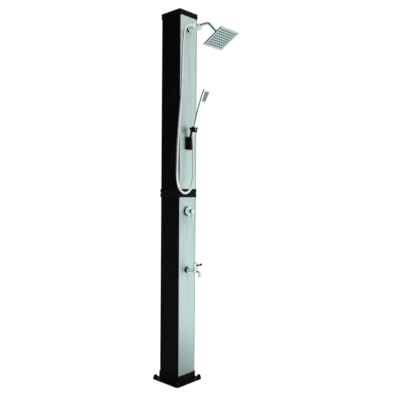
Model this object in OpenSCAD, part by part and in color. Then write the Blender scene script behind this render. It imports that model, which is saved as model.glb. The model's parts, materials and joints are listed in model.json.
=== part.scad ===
// Outdoor shower post: a black two-part column with aluminium fronts, an overhead
// shower, a handset on a hose, a mixer and a foot tap. Millimetres, +Z up. The
// origin is the middle of the base's underside, and the fittings face -Y.

/* [Column] */
// Height of the post from the ground to the top of the cap
post_h = 2200; // [2180:5:2260]
// Width of the column across its front
col_w = 148; // [144:1:156]
// Depth of the column from front to back
col_d = 156; // [152:1:164]
// Radius of the column's upright corners
col_r = 8; // [7:0.5:10]
// Thickness of the column's walls
col_wall = 3; // [2.5:0.5:3.5]
// Height of the joint between the two column halves, as a share of the post's height
joint_share = 0.5125; // [0.5:0.0005:0.52]
// Thickness of the rubber gasket in that joint
gasket_t = 3; // [2:0.5:4]
// Width of the service channel behind the panels
chan_w = 70; // [68:1:76]
// Depth of the service channel
chan_d = 40; // [39:1:44]

/* [Front panels] */
// Black strip left showing at each side of a panel
front_strip = 6; // [5.5:0.5:8]
// Thickness of the aluminium sheet
panel_t = 2; // [1.5:0.5:2.5]
// Radius of a panel's long edges
panel_edge_r = 6; // [5:0.5:7]
// Depth of the folded edge that slides into the column
panel_fold_d = 10; // [9:0.5:12]

/* [Collars and top cap] */
// Height of each collar
collar_h = 23; // [20:1:26]
// Wall of the collars and of the base's socket
ring_wall = 4.5; // [4:0.5:6]
// Height of the top cap
cap_h = 33; // [28:1:40]
// Wall of the cap's skirt
cap_wall = 2.5; // [2:0.5:4]
// Thickness of the cap's roof
cap_roof = 3; // [2:0.5:5]

/* [Base] */
// Width of the base plate
base_w = 212; // [206:1:230]
// Depth of the base plate
base_d = 218; // [212:1:236]
// Thickness of the base plate
base_t = 6; // [5:0.5:10]
// Radius of the base plate's corners
base_r = 15; // [12:1:18]
// Height of the socket that holds the column
socket_h = 51; // [44:1:58]
// Diameter of the four ground bolt holes
anchor_d = 10; // [8:0.5:12]
// Distance of a bolt hole from the plate's edges
anchor_inset = 15; // [14:0.5:18]
// Foot radius of a bolt cap, as a share of the bolt's mean distance from the socket and the edge
anchor_cap_share = 0.81; // [0.7:0.01:0.85]
// Height of a bolt cap
anchor_cap_h = 22; // [18:1:26]

/* [Water way] */
// Outside diameter of a half inch pipe thread
thread_d = 20.955; // [20.5:0.005:21.5]
// Outside diameter of the pipes in the channel
pipe_d = 12; // [10:0.5:12]
// Wall of those pipes
pipe_wall = 1; // [0.8:0.1:1.5]
// Height of the supply inlet at the back
inlet_z = 86; // [80:1:94]
// Length of the supply inlet's thread
inlet_len = 15; // [12:1:20]
// Height of the lower tank's floor
tank_floor_z = 118; // [114:1:130]
// Outside diameter of the pipe that links the two tanks
link_d = 30; // [24:1:34]

/* [Diverter and arm] */
// Distance of the diverter below the top of the post
diverter_drop = 102; // [96:1:110]
// Diameter of the diverter's wall plate
diverter_plate_d = 34; // [32:1:44]
// Distance of the diverter's cross axis from the panel
cross_out = 56; // [52:1:60]
// Diameter of the diverter's barrel
diverter_d = 26; // [24:1:28]
// Diameter of the diverter knob
knob_d = 30; // [26:1:34]
// Length of the diverter knob
knob_len = 19.6; // [16:0.1:24]
// Outside diameter of the shower arm
arm_d = 18; // [16:0.5:18]
// Wall of the shower arm
arm_wall = 1.2; // [1:0.1:2]
// Distance from the panel to the start of the arm's bend
arm_reach = 138; // [130:1:150]
// Radius of the arm's bend
arm_bend_r = 45; // [40:1:60]
// Angle by which the arm bends down
arm_bend_a = 46; // [40:1:50]
// Length from the end of the bend to the ball's middle
arm_tail = 95; // [84:1:104]

/* [Shower head] */
// Side of the square head
head_s = 150; // [130:5:170]
// Thickness of the head
head_t = 8; // [7:0.5:12]
// Tilt of the head's face from level
head_tilt_a = 28.6; // [22:0.2:34]
// Distance from the ball's middle to the nozzle face
head_drop = 34; // [32:1:40]
// Diameter of the swivel ball
ball_d = 20; // [18:0.5:21]
// Nozzles along each side of the head
nozzle_n = 8; // [6:1:9]
// Distance between nozzles
nozzle_pitch = 16; // [12:0.5:17]

/* [Handset and holder] */
// Height of the middle of the wall bracket, as a share of the post's height
bracket_share = 0.646; // [0.635:0.001:0.655]
// Width of the wall bracket
bracket_w = 49; // [46:1:54]
// Height of the wall bracket
bracket_h = 76; // [70:1:84]
// Thickness of the bracket's plate
bracket_t = 11; // [9:0.5:12]
// Lean of the handset from upright
hand_lean = 18; // [14:1:22]
// Bend between the handle and the handset's head
hand_bend = 10; // [6:1:14]
// Length of the handset above its nut
hand_len = 218; // [200:1:240]
// Width of the handset's head
hand_w = 43; // [38:1:48]
// Thickness of the handset's head
hand_t = 18; // [16:0.5:20]
// Outside radius of the holder's clip
clip_r = 18; // [16:0.5:20]
// Length of the holder's clip
clip_len = 30; // [26:1:34]

/* [Mixer] */
// Height of the mixer's axis, as a share of the post's height
mixer_share = 0.464; // [0.455:0.001:0.468]
// Diameter of the mixer's wall plate
mixer_plate_d = 54; // [50:1:60]
// Diameter of the cartridge
cartridge_d = 35; // [32:1:36]
// Length of the lever below the mixer's axis
lever_len = 77; // [70:1:90]
// Width of the lever
lever_w = 16; // [13:1:20]

/* [Foot tap] */
// Height of the foot tap's axis, as a share of the post's height
tap_share = 0.3055; // [0.29:0.0005:0.325]
// Diameter of the tap's wall plate
tap_plate_d = 39; // [36:1:44]
// Distance of the tap's turning cap from the panel
tap_out = 66; // [62:1:72]
// Diameter of the tap's turning cap
tap_cap_d = 25.5; // [23:0.5:28]
// Distance from the cap's middle to the lever's ball
tap_lever_len = 45; // [40:1:55]
// Diameter of the lever's ball
tap_ball_d = 15; // [12:0.5:18]

/* [Hose] */
// Outside diameter of the hose
hose_d = 14; // [12:0.5:14]

/* [Hidden] */
$fn = 48;

// Clearances: run is a running fit, slip a pushed or screwed fit, gap the room between
// pieces that move past each other, ring_fit the room round the column, cut the overrun of a cut
run = 0.05;
slip = 0.1;
gap = 0.3;
ring_fit = 0.2;
cut = 1;

// A bent rod is drawn thinner past its bend by this step, and starts this far inside the bend
draw_step = 0.05;
draw_lap = 1;

// Heights along the column
joint_z = post_h * joint_share;
bracket_z = post_h * bracket_share;
mixer_z = post_h * mixer_share;
tap_z = post_h * tap_share;
lower_top_z = joint_z - gasket_t / 2;
upper_foot_z = joint_z + gasket_t / 2;
upper_top_z = post_h - cap_roof;
panel_top_z = post_h - cap_h;
wall_t = 4;
joint_room = 30;
cap_room = 40;
lower_roof_z = lower_top_z - joint_room;
upper_floor_z = upper_foot_z + joint_room;
upper_roof_z = upper_top_z - cap_room;
diverter_z = post_h - diverter_drop;

// Bolt caps: the foot's diameter, and the share of its radius that the round top has
bolt_room = norm([(base_w - col_w) / 2 - anchor_inset + col_r, (base_d - col_d) / 2 - anchor_inset + col_r])
    - col_r - ring_fit - ring_wall;
anchor_cap_d = anchor_cap_share * (bolt_room + anchor_inset);
cap_top_share = 0.5;

// Straight pieces in each rounded edge of a panel
arc_n = 8;

// Fronts
front_y = -col_d / 2 - panel_t;
panel_w = col_w - 2 * front_strip;
chan_back_y = -col_d / 2 + chan_d;

// Casing screws
screw_d = 4;
screw_head_d = 9;
screw_head_t = 3;
screw_x = 45;
screw_grip = 9;
cap_screw_drop = 17;
socket_screw_z = 30;

// Pipes and blocks in the channel; f values are distances out of the panel's face
pipe_x = 22;
pipe_back = 17;
pipe_y = chan_back_y - pipe_back;
pipe_bend_r = 13;
pipe_in = 10;
block_d = 34;
block_gap = 3;
block_w = chan_w - 2 * block_gap;
block_h = 30;
block_back_f = front_y - chan_back_y;
block_front_f = block_back_f + block_d;
nipple_in = 10;
nipple_hole_gap = 0.8;
bore_d = 13;
way_d = 9;
feed_d = 15;
fill_rise = 52;
fill_z = tank_floor_z + fill_rise;
pipe_tail = 24;
fitting_d = 24;
fitting_t = 4;
fitting_barrel_d = 16;
fitting_barrel_len = 9;
hot_z = diverter_z - block_h / 2 - fitting_d;

// Joint between the tanks
link_y = 20;
link_out = 20;
link_wall = 3;
link_nut_af = 42;
link_nut_t = 10;
seal_t = 3;
sleeve_wall = 3;
sleeve_end_gap = 2;

// Supply inlet and drain
inlet_flange_d = 32;
inlet_flange_t = 4;
inlet_in = 15;
inlet_nut_af = 27;
inlet_nut_t = 6;
drain_rise = 24;
drain_d = 20;
drain_head_d = 26;
drain_head_t = 8;
drain_in = 8;
drain_z = tank_floor_z + wall_t + drain_rise;

// Diverter
rosette_t = 8;
rosette_wall = 1.5;
dish_rim_share = 0.4;
lock_nut_af = 27;
lock_nut_t = 9;
diverter_end_f = 78;
arm_thread_len = 10;
arm_nut_af = 27;
arm_nut_t = 15;
outlet_x = 15;
outlet_thread_len = 10;
branch_d = 24;
knob_x = 20;
stem_d = 8;
stem_in = 10;
flute_d = 5;
flute_n = 10;
flute_rim = 2;
nut_hex_len = 12;
hose_nut_len = 19;
hose_nut_end_d = 16;
hose_nut_af = 24;

// Arm and its ball
arm_seat = 4;
arm_start_f = diverter_end_f - arm_seat;
arm_cy = front_y - arm_reach;
bend_end = [0, arm_cy - arm_bend_r * sin(arm_bend_a), diverter_z - arm_bend_r * (1 - cos(arm_bend_a))];
ball_p = bend_end + arm_tail * [0, -cos(arm_bend_a), -sin(arm_bend_a)];
ball_nut_d = 25;
ball_nut_len = 16;
ball_neck_d = 9;
ball_neck_len = 11;
arm_in_nut = 12;

// Shower head, from the ball's middle along its own axis
collar_d = 32;
collar_top = 6.5;
collar_foot = -13;
neck_d = 26;
neck_top = -4;
neck_foot_d = 44;
collar_chamfer = 5;
head_r = 4;
plate_inset = 6;
plate_t = 1.6;
mat_t = 2;
nozzle_d = 4.4;
nozzle_tip_d = 3;
nozzle_out = 1.6;
head_bore_d = 8;
head_wall = 2;
chamber_inset = 4;

// Handset, from its clip point along its lean
clip_rise = 71;
clip_p = [0, -126, bracket_z + clip_rise];
nut_foot = -13;
nut_cone_top = 18;
nut_top = 31;
nut_foot_r = 8.2;
nut_r = 11;
nut_grip_n = 12;
clip_foot = -7;
clip_mouth = hose_d + 1;
hand_straight = 55;
hand_arc = 52;
face_w = 33;
face_foot_share = 0.8;
face_len = 60;
face_t = 2.5;
face_end = 9;
spigot_d = 16;
spigot_len = 8;
jet_d = 2;
jet_out = 1;
jet_columns = 4;
jet_rows = 9;

// Wall bracket and holder
boss_w = 28;
boss_t = 10;
boss_foot = 10;
bracket_r = 6;
tilt_d = 5;
tilt_f = 14;
tilt_drop = 11;
eye_r = 7;
eye_w = 10;
fork_room = 1;
bar_t = 8;
knuckle_r = 9;
knuckle_w = 24;
knuckle_rise = 84;
knuckle_p = [-109, bracket_z + knuckle_rise];
bracket_screw_x = 19;
bracket_screw_len = 21;

// Mixer
barrel_wall = 2.4;
barrel_out = 12;
dome_t = 10;
dome_hole_d = 20;
plate_dish_t = 6;
spindle_d = 9;
spindle_in = 4;
spindle_out = 40;
pin_out = 33;
pin_d = 4;
pin_len = 20;
hub_d = 26;
hub_back = 28;
hub_front = 46;
hub_slot_front = 42.5;
hub_slot_h = 18;

lever_edge = 4;
slot_room = 0.8;
dome_share = 1.4;
// Lever sections as shares: drop and reach of the lever's length, thickness and width of its width
lever_shares = [[0.02, 0.47, 1, 1], [0.42, 0.52, 0.62, 1], [0.8, 0.58, 0.4, 0.95], [1, 0.7, 0.3, 0.8]];

// Foot tap
handle_in = 8;
handle_a = 15;
cap_dome_share = 0.6;
tap_barrel_d = 19;
tap_hex_af = 25;
tap_hex_f = 24;
tap_hex_len = 9;
tap_hub_d = 23;
tap_hub_foot = -12;
tap_hub_top = 10;
bonnet_af = 22;
bonnet_t = 5;
tap_cap_top = 53;
tap_stem_rise = 30;
tap_handle_d = 8;
spout_d = 14;
spout_drop = 2;
spout_len = 18;
spout_bend_r = 18;
spout_bend_a = 85;
spout_end_len = 8;
ring_d = 21;
ring_len = 13;

// Points of the hose that its hang gives, from the diverter down and up to the handset,
// as it hangs from a diverter at hung_z
hung_z = 2098;
hung_points = [[-48, -136, 2096], [-62, -136, 2090], [-74, -136, 2081], [-83, -136, 2069],
    [-90, -136, 2053], [-95, -136, 2034], [-99, -136, 2005], [-103, -136, 1955],
    [-106, -135, 1880], [-108, -135, 1770], [-116, -135, 1655], [-128, -135, 1540],
    [-137, -134, 1430], [-142, -134, 1330], [-142, -133, 1260], [-138, -132, 1208],
    [-127, -131, 1168], [-108, -130, 1141], [-85, -129, 1129], [-61, -128, 1129],
    [-39, -127, 1139], [-21, -126, 1159], [-9, -125, 1190], [-3, -125, 1230],
    [-1, -125, 1290], [-1, -124, 1360], [-1, -121, 1420], [0, -117, 1450]];
hose_points = [for (p = hung_points) [p[0], p[1], p[2] * diverter_z / hung_z]];
hose_split = 25;
hose_steps = 3;
hose_short_steps = 2;
hose_long_share = 4;
hose_sides = 12;

// Ways of placing things
module front_at(z) translate([0, front_y, z]) rotate([90, 0, 0]) children();
module rod(d, a, b) translate([0, 0, a]) cylinder(d = d, h = b - a);
module hexagon(af, a, b) translate([0, 0, a]) cylinder(d = af / cos(30), h = b - a, $fn = 6);
module tube(d, wall, a, b) difference() {
    rod(d, a, b);
    rod(d - 2 * wall, a - cut, b + cut);
}
module bend(r, d, wall, angle) rotate_extrude(angle = angle) translate([r, 0]) difference() {
    circle(d = d);
    circle(d = d - 2 * wall);
}
module bent_rod(d, r, angle, before, after) {
    translate([r, 0, 0]) rotate([-90, 0, 0]) rod(d, -before, 0);
    rotate_extrude(angle = angle) translate([r, 0]) circle(d = d);
    rotate([0, 0, angle]) translate([r, 0, 0]) rotate([-90, 0, 0]) rod(d - 2 * draw_step, -draw_lap, after);
}
module along_x() rotate([0, 90, 0]) children();
module at_anchors() for (sx = [-1, 1], sy = [-1, 1])
    translate([sx * (base_w / 2 - anchor_inset), sy * (base_d / 2 - anchor_inset), 0]) children();

// Plans of the column, the channel and the panels
module rounded_plan(w, d, r) {
    square([w, d - 2 * r], center = true);
    square([w - 2 * r, d], center = true);
    for (sx = [-1, 1], sy = [-1, 1]) translate([sx * (w / 2 - r), sy * (d / 2 - r)]) circle(r = r);
}
module channel_plan(grow) translate([-chan_w / 2 - grow, -col_d / 2 - cut])
    square([chan_w + 2 * grow, chan_d + grow + cut]);
module both_sides() {
    children();
    mirror([1, 0, 0]) children();
}
module groove_plan(grow) both_sides() translate([panel_w / 2 - panel_edge_r - gap - grow, -col_d / 2 - cut]) {
    square([panel_edge_r + 2 * gap + grow, panel_edge_r - panel_t + gap + grow + cut]);
    translate([panel_edge_r - panel_t, 0])
        square([panel_t + 2 * gap + 2 * grow, panel_fold_d + gap + grow + cut]);
}
module cavity_plan() difference() {
    rounded_plan(col_w - 2 * col_wall, col_d - 2 * col_wall, col_r - col_wall);
    channel_plan(col_wall);
    groove_plan(col_wall);
}
module solid_plan() difference() {
    rounded_plan(col_w, col_d, col_r);
    channel_plan(0);
    groove_plan(0);
}
function arc(x, y, r, a, b) = [for (k = [0 : arc_n]) let (t = a + (b - a) * k / arc_n)
    [x + r * cos(t), y + r * sin(t)]];
module panel_plan() {
    x = panel_w / 2 - panel_edge_r;
    y = front_y + panel_edge_r;
    back = -col_d / 2 + panel_fold_d;
    inner = panel_edge_r - panel_t;
    polygon(concat([[-panel_w / 2, back]], arc(-x, y, panel_edge_r, 180, 270),
        arc(x, y, panel_edge_r, 270, 360), [[panel_w / 2, back], [panel_w / 2 - panel_t, back]],
        arc(x, y, inner, 360, 270), arc(-x, y, inner, 270, 180), [[-panel_w / 2 + panel_t, back]]));
}
module ring_plan(wall) difference() {
    grow = 2 * (ring_fit + wall);
    rounded_plan(col_w + grow, col_d + grow, col_r + ring_fit + wall);
    rounded_plan(col_w + 2 * ring_fit, col_d + 2 * ring_fit, col_r + ring_fit);
    translate([-panel_w / 2 - ring_fit, front_y - ring_fit]) square([panel_w + 2 * ring_fit, col_d / 2]);
}

// Rear screws: their places, and the hole that each of them passes
module at_screws() for (x = [-screw_x, screw_x]) {
    for (z = [socket_screw_z, lower_top_z - collar_h / 2, upper_foot_z + collar_h / 2])
        translate([x, col_d / 2 + ring_fit + ring_wall, z]) rotate([-90, 0, 0]) children();
    translate([x, col_d / 2 + ring_fit + cap_wall, post_h - cap_screw_drop])
        rotate([-90, 0, 0]) children();
}
module screw_holes() at_screws() rod(screw_d + 2 * slip, -ring_wall - screw_grip, cut);

// Base, columns, panels and their rings
module base_foot() color("#121415") difference() {
    union() {
        difference() {
            linear_extrude(base_t) rounded_plan(base_w, base_d, base_r);
            at_anchors() rod(anchor_d, -cut, base_t + cut);
        }
        translate([0, 0, base_t]) linear_extrude(socket_h - base_t) ring_plan(ring_wall);
    }
    screw_holes();
}
module anchor_caps() color("#101213") at_anchors() translate([0, 0, base_t]) rotate_extrude() {
    r = anchor_cap_d / 2;
    h = anchor_cap_h;
    t = ring_wall / 2;
    difference() {
        union() {
            polygon([[0, 0], [r, 0], [r, t], [r * cap_top_share, h - r * cap_top_share],
                [0, h - r * cap_top_share]]);
            intersection() {
                translate([0, h - r * cap_top_share]) circle(r = r * cap_top_share);
                square([r, h]);
            }
        }
        polygon([[0, -cut], [r - t, -cut], [r - t, t], [r * cap_top_share - t, h - r * cap_top_share],
            [0, h - r * cap_top_share]]);
    }
}
module column(foot, top, floor_z, roof_z) difference() {
    union() {
        translate([0, 0, foot]) linear_extrude(top - foot) difference() {
            solid_plan();
            cavity_plan();
        }
        translate([0, 0, floor_z]) linear_extrude(wall_t) solid_plan();
        translate([0, 0, roof_z - wall_t]) linear_extrude(wall_t) solid_plan();
    }
    screw_holes();
}
module wall_hole(d, x, z) translate([x, chan_back_y + col_wall + cut, z]) rotate([90, 0, 0])
    cylinder(d = d, h = col_wall + 2 * cut);
module rear_hole(d, z) translate([0, col_d / 2 + cut, z]) rotate([90, 0, 0])
    cylinder(d = d, h = col_wall + 2 * cut);
module lower_column() color("#0c0f10") difference() {
    column(base_t, lower_top_z, tank_floor_z, lower_roof_z);
    rear_hole(thread_d + 2 * slip, inlet_z);
    wall_hole(feed_d + 2 * gap, 0, inlet_z);
    rear_hole(drain_d + 2 * slip, drain_z);
    wall_hole(fitting_barrel_d + 2 * slip, pipe_x, fill_z);
    translate([0, link_y, 0]) rod(link_d + 2 * slip, lower_roof_z - wall_t - cut, lower_roof_z + cut);
}
module upper_column() color("#0c0f10") difference() {
    column(upper_foot_z, upper_top_z, upper_floor_z, upper_roof_z);
    wall_hole(fitting_barrel_d + 2 * slip, pipe_x, hot_z);
    translate([0, link_y, 0]) rod(link_d + 2 * slip, upper_floor_z - cut, upper_floor_z + wall_t + cut);
}
module panel_hole(d, z) front_at(z) rod(d, -panel_t - cut, cut);
module bracket_holes() front_at(bracket_z) both_sides() translate([bracket_screw_x, 0, 0])
    rod(screw_d + 2 * slip, -panel_t - cut, bracket_t + cut);
module lower_front_panel() color("#b9c6c5") difference() {
    translate([0, 0, base_t]) linear_extrude(lower_top_z - base_t) panel_plan();
    panel_hole(thread_d + 2 * nipple_hole_gap, tap_z);
    panel_hole(cartridge_d + 2 * (barrel_wall + nipple_hole_gap), mixer_z);
}
module upper_front_panel() color("#b9c6c5") difference() {
    translate([0, 0, upper_foot_z]) linear_extrude(panel_top_z - upper_foot_z) panel_plan();
    panel_hole(thread_d + 2 * nipple_hole_gap, diverter_z);
    bracket_holes();
}
module lower_collar() color("#15181a") difference() {
    translate([0, 0, lower_top_z - collar_h]) linear_extrude(collar_h) ring_plan(ring_wall);
    screw_holes();
}
module upper_collar() color("#15181a") difference() {
    translate([0, 0, upper_foot_z]) linear_extrude(collar_h) ring_plan(ring_wall);
    screw_holes();
}
module joint_gasket() color("#0a0a0a") translate([0, 0, lower_top_z]) linear_extrude(gasket_t) difference() {
    solid_plan();
    cavity_plan();
}
module joint_sleeve() color("#1b1e20") difference() {
    w = col_w - 2 * (col_wall + ring_fit);
    d = col_d / 2 - chan_back_y;
    translate([0, 0, lower_roof_z + sleeve_end_gap])
        linear_extrude(upper_floor_z - lower_roof_z - 2 * sleeve_end_gap) difference() {
            translate([0, chan_back_y + col_wall + (d - 2 * col_wall) / 2])
                rounded_plan(w, d - 2 * (col_wall + ring_fit), col_r - col_wall);
            translate([0, chan_back_y + col_wall + (d - 2 * col_wall) / 2])
                rounded_plan(w - 2 * sleeve_wall, d - 2 * (col_wall + ring_fit + sleeve_wall), col_wall);
        }
    screw_holes();
}
module casing_screws() color("#8d9294") at_screws() {
    cylinder(d1 = screw_head_d, d2 = screw_head_d - screw_head_t, h = screw_head_t);
    rod(screw_d, -ring_wall - screw_grip + cut, 0);
}
module top_cap() color("#101214") difference() {
    union() {
        translate([0, 0, panel_top_z]) linear_extrude(cap_h - cap_roof) difference() {
            rounded_plan(col_w + 2 * (ring_fit + cap_wall), col_d + 2 * (ring_fit + cap_wall),
                col_r + ring_fit);
            rounded_plan(col_w + 2 * ring_fit, col_d + 2 * ring_fit, col_r + ring_fit);
        }
        translate([0, 0, upper_top_z]) linear_extrude(cap_roof)
            rounded_plan(col_w + 2 * (ring_fit + cap_wall), col_d + 2 * (ring_fit + cap_wall),
                col_r + ring_fit);
    }
    screw_holes();
}

// Link between the tanks
module at_link() translate([0, link_y, 0]) children();
module link_pipe() color("#3a3f42") at_link()
    tube(link_d, link_wall, lower_roof_z - wall_t - link_out, upper_floor_z + wall_t + link_out);
module link_ring(a, b) difference() {
    hexagon(link_nut_af, a, b);
    rod(link_d + 2 * slip, a - cut, b + cut);
}
module link_nuts() color("#2a2e30") at_link() {
    link_ring(lower_roof_z + seal_t, lower_roof_z + seal_t + link_nut_t);
    link_ring(upper_floor_z - seal_t - link_nut_t, upper_floor_z - seal_t);
}
module link_seals() color("#0a0a0a") at_link()
    for (z = [lower_roof_z, upper_floor_z - seal_t]) difference() {
        rod(link_nut_af, z, z + seal_t);
        rod(link_d + 2 * slip, z - cut, z + seal_t + cut);
    }

// Supply inlet, drain and the pipes in the channel
module rear_at(z) translate([0, col_d / 2, z]) rotate([-90, 0, 0]) children();
module inlet_connector() color("#b5934e") rear_at(inlet_z) difference() {
    union() {
        rod(thread_d, -col_wall - inlet_in, inlet_flange_t + inlet_len);
        rod(inlet_flange_d, 0, inlet_flange_t);
    }
    rod(feed_d + 2 * slip, -col_wall - inlet_in - cut, -col_wall - inlet_in + pipe_in);
    rod(bore_d, -col_wall - inlet_in, inlet_flange_t + inlet_len + cut);
}
module inlet_nut() color("#b5934e") rear_at(inlet_z) difference() {
    hexagon(inlet_nut_af, -col_wall - inlet_nut_t, -col_wall);
    rod(thread_d + 2 * slip, -col_wall - inlet_nut_t - cut, -col_wall + cut);
}
module feed_pipe() color("#c98c62") {
    a = col_wall + inlet_in - pipe_in;
    b = col_d - chan_d + pipe_in;
    rear_at(inlet_z) tube(feed_d, pipe_wall, -b, -a);
}
module block(x0, x1) translate([x0, -block_h / 2, block_back_f]) cube([x1 - x0, block_h, block_d]);
module pipe_port(x, side) translate([x, 0, front_y - pipe_y]) rotate([side * 90, 0, 0]) {
    rod(pipe_d + 2 * slip, block_h / 2 - pipe_in, block_h / 2 + cut);
    rod(way_d, 0, block_h / 2);
}
module cross_way(x0, x1) translate([0, 0, front_y - pipe_y]) along_x() rod(way_d, x0, x1);
module front_port(x) translate([x, 0, 0]) {
    rod(thread_d + 2 * slip, block_front_f - nipple_in, block_front_f + cut);
    rod(way_d, front_y - pipe_y, block_front_f);
}
module cold_manifold() color("#b5934e") front_at(inlet_z) difference() {
    block(-block_w / 2, block_w / 2);
    pipe_port(-pipe_x, -1);
    pipe_port(pipe_x, -1);
    cross_way(-pipe_x, pipe_x);
    rod(feed_d + 2 * slip, block_back_f - cut, block_back_f + pipe_in);
    rod(way_d, block_back_f, front_y - pipe_y);
}
module riser(x, a, b) translate([x, pipe_y, 0]) tube(pipe_d, pipe_wall, a, b);
module tank_pipe(a, z) {
    riser(pipe_x, a, z - pipe_bend_r);
    translate([pipe_x, pipe_y + pipe_bend_r, z - pipe_bend_r]) rotate([90, 0, -90])
        bend(pipe_bend_r, pipe_d, pipe_wall, 90);
    translate([pipe_x, pipe_y + pipe_bend_r, z]) rotate([-90, 0, 0]) tube(pipe_d, pipe_wall, 0, pipe_tail);
}
module fill_pipe() color("#c98c62") tank_pipe(inlet_z + block_h / 2 - pipe_in, fill_z);
module cold_riser() color("#c98c62") {
    riser(-pipe_x, inlet_z + block_h / 2 - pipe_in, tap_z - block_h / 2 + pipe_in);
    riser(-pipe_x, tap_z + block_h / 2 - pipe_in, mixer_z - block_h / 2 + pipe_in);
}
module tap_tee() color("#b5934e") front_at(tap_z) difference() {
    block(-block_w / 2, block_h / 2);
    pipe_port(-pipe_x, -1);
    pipe_port(-pipe_x, 1);
    cross_way(-pipe_x, 0);
    front_port(0);
}
module hot_pipe() color("#c98c62") tank_pipe(mixer_z + block_h / 2 - pipe_in, hot_z);
module tank_fittings() color("#b5934e") for (z = [fill_z, hot_z])
    translate([pipe_x, chan_back_y, z]) rotate([-90, 0, 0]) difference() {
        union() {
            rod(fitting_d, -fitting_t, 0);
            rod(fitting_barrel_d, 0, fitting_barrel_len);
        }
        rod(pipe_d + 2 * slip, -fitting_t - cut, fitting_barrel_len + cut);
    }
module mixed_riser() color("#c98c62")
    riser(0, mixer_z + block_h / 2 - pipe_in, diverter_z - block_h / 2 + pipe_in);
module riser_elbow() color("#b5934e") front_at(diverter_z) difference() {
    block(-block_h / 2, block_h / 2);
    pipe_port(0, 1);
    front_port(0);
}
module drain_plug() color("#1a1d1f") rear_at(drain_z) {
    difference() {
        rod(drain_head_d, 0, drain_head_t);
        for (k = [0 : flute_n - 1]) rotate([0, 0, k * 360 / flute_n])
            translate([drain_head_d / 2, 0, 0]) rod(flute_d / 2, flute_rim, drain_head_t + cut);
    }
    rod(drain_d, -col_wall - drain_in, 0);
}

// Diverter: the wall plate, its nut, the body with its cross branches, and the knob
module dish(d, t, hole) rotate_extrude() difference() {
    polygon([[0, 0], [d / 2, 0], [d / 2, t * dish_rim_share], [d / 2 - t * (1 - dish_rim_share), t], [0, t]]);
    translate([0, -cut]) square([hole / 2, t + 2 * cut]);
    translate([0, -cut]) square([d / 2 - t, t - rosette_wall + cut]);
}
module diverter_rosette() color("#d5d9da") front_at(diverter_z)
    dish(diverter_plate_d, rosette_t, thread_d + 2 * slip);
module inlet_lock_nut() color("#c9cdce") front_at(diverter_z) difference() {
    hexagon(lock_nut_af, rosette_t, rosette_t + lock_nut_t);
    rod(thread_d + 2 * slip, rosette_t - cut, rosette_t + lock_nut_t + cut);
}
module diverter_body() color("#d5d9da") front_at(diverter_z) difference() {
    shoulder = rosette_t + lock_nut_t;
    thread_end = diverter_end_f + arm_thread_len;
    union() {
        rod(thread_d, block_front_f - nipple_in, thread_end);
        rod(diverter_d, shoulder, diverter_end_f);
        translate([0, 0, cross_out]) along_x() {
            rod(branch_d, -outlet_x, knob_x);
            rod(thread_d, -outlet_x - outlet_thread_len, 0);
        }
    }
    rod(bore_d, block_front_f - nipple_in - cut, cross_out);
    rod(arm_d + 2 * slip, arm_start_f, thread_end + cut);
    rod(bore_d, cross_out, thread_end);
    translate([0, 0, cross_out]) along_x() {
        rod(bore_d, -outlet_x - outlet_thread_len - cut, 0);
        rod(stem_d + 2 * run, knob_x - stem_in, knob_x + cut);
    }
}
module diverter_knob() color("#dfe3e4") front_at(diverter_z) translate([0, 0, cross_out]) along_x() {
    rod(stem_d, knob_x - stem_in + gap, knob_x + gap);
    difference() {
        rod(knob_d, knob_x + gap, knob_x + gap + knob_len);
        for (k = [0 : flute_n - 1]) rotate([0, 0, k * 360 / flute_n]) translate([knob_d / 2, 0, 0])
            rod(flute_d, knob_x + gap + flute_rim, knob_x + knob_len - flute_rim);
    }
}
module arm_nut() color("#c9cdce") front_at(diverter_z) difference() {
    hexagon(arm_nut_af, diverter_end_f, diverter_end_f + arm_nut_t);
    rod(thread_d + 2 * slip, diverter_end_f - cut, diverter_end_f + arm_thread_len);
    rod(arm_d + 2 * slip, diverter_end_f, diverter_end_f + arm_nut_t + cut);
}

// Arm, ball and head
module at_tail() translate(bend_end) rotate([90 + arm_bend_a, 0, 0]) children();
module arm_form(d, over) bent_rod(d, arm_bend_r, arm_bend_a, arm_reach - arm_start_f + over,
    arm_tail - ball_neck_len - ball_nut_len + arm_in_nut + over);
module shower_arm() color("#dfe3e4") translate([0, arm_cy, diverter_z - arm_bend_r]) rotate([180, -90, 0])
    difference() {
        arm_form(arm_d, 0);
        arm_form(arm_d - 2 * arm_wall, cut);
    }
module arm_ball() color("#c9cdce") at_tail() difference() {
    foot = arm_tail - ball_neck_len - ball_nut_len;
    union() {
        rod(ball_nut_d, foot, foot + ball_nut_len);
        rod(ball_neck_d, foot, arm_tail);
        translate([0, 0, arm_tail]) sphere(d = ball_d);
    }
    rod(arm_d + 2 * slip, foot - cut, foot + arm_in_nut);
    rod(ball_neck_d / 2, foot, arm_tail + ball_d);
}
module at_head() translate(ball_p) rotate([-head_tilt_a, 0, 0]) children();
module head_collar() color("#c9cdce") at_head() difference() {
    union() {
        rod(collar_d, collar_foot, collar_top - collar_chamfer);
        translate([0, 0, collar_top - collar_chamfer])
            cylinder(d1 = collar_d, d2 = collar_d - 2 * collar_chamfer, h = collar_chamfer);
    }
    sphere(r = ball_d / 2 + gap);
    rod(ball_d + 2 * gap, collar_foot, 0);
    rod(neck_d + 2 * slip, collar_foot - cut, neck_top);
}
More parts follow.
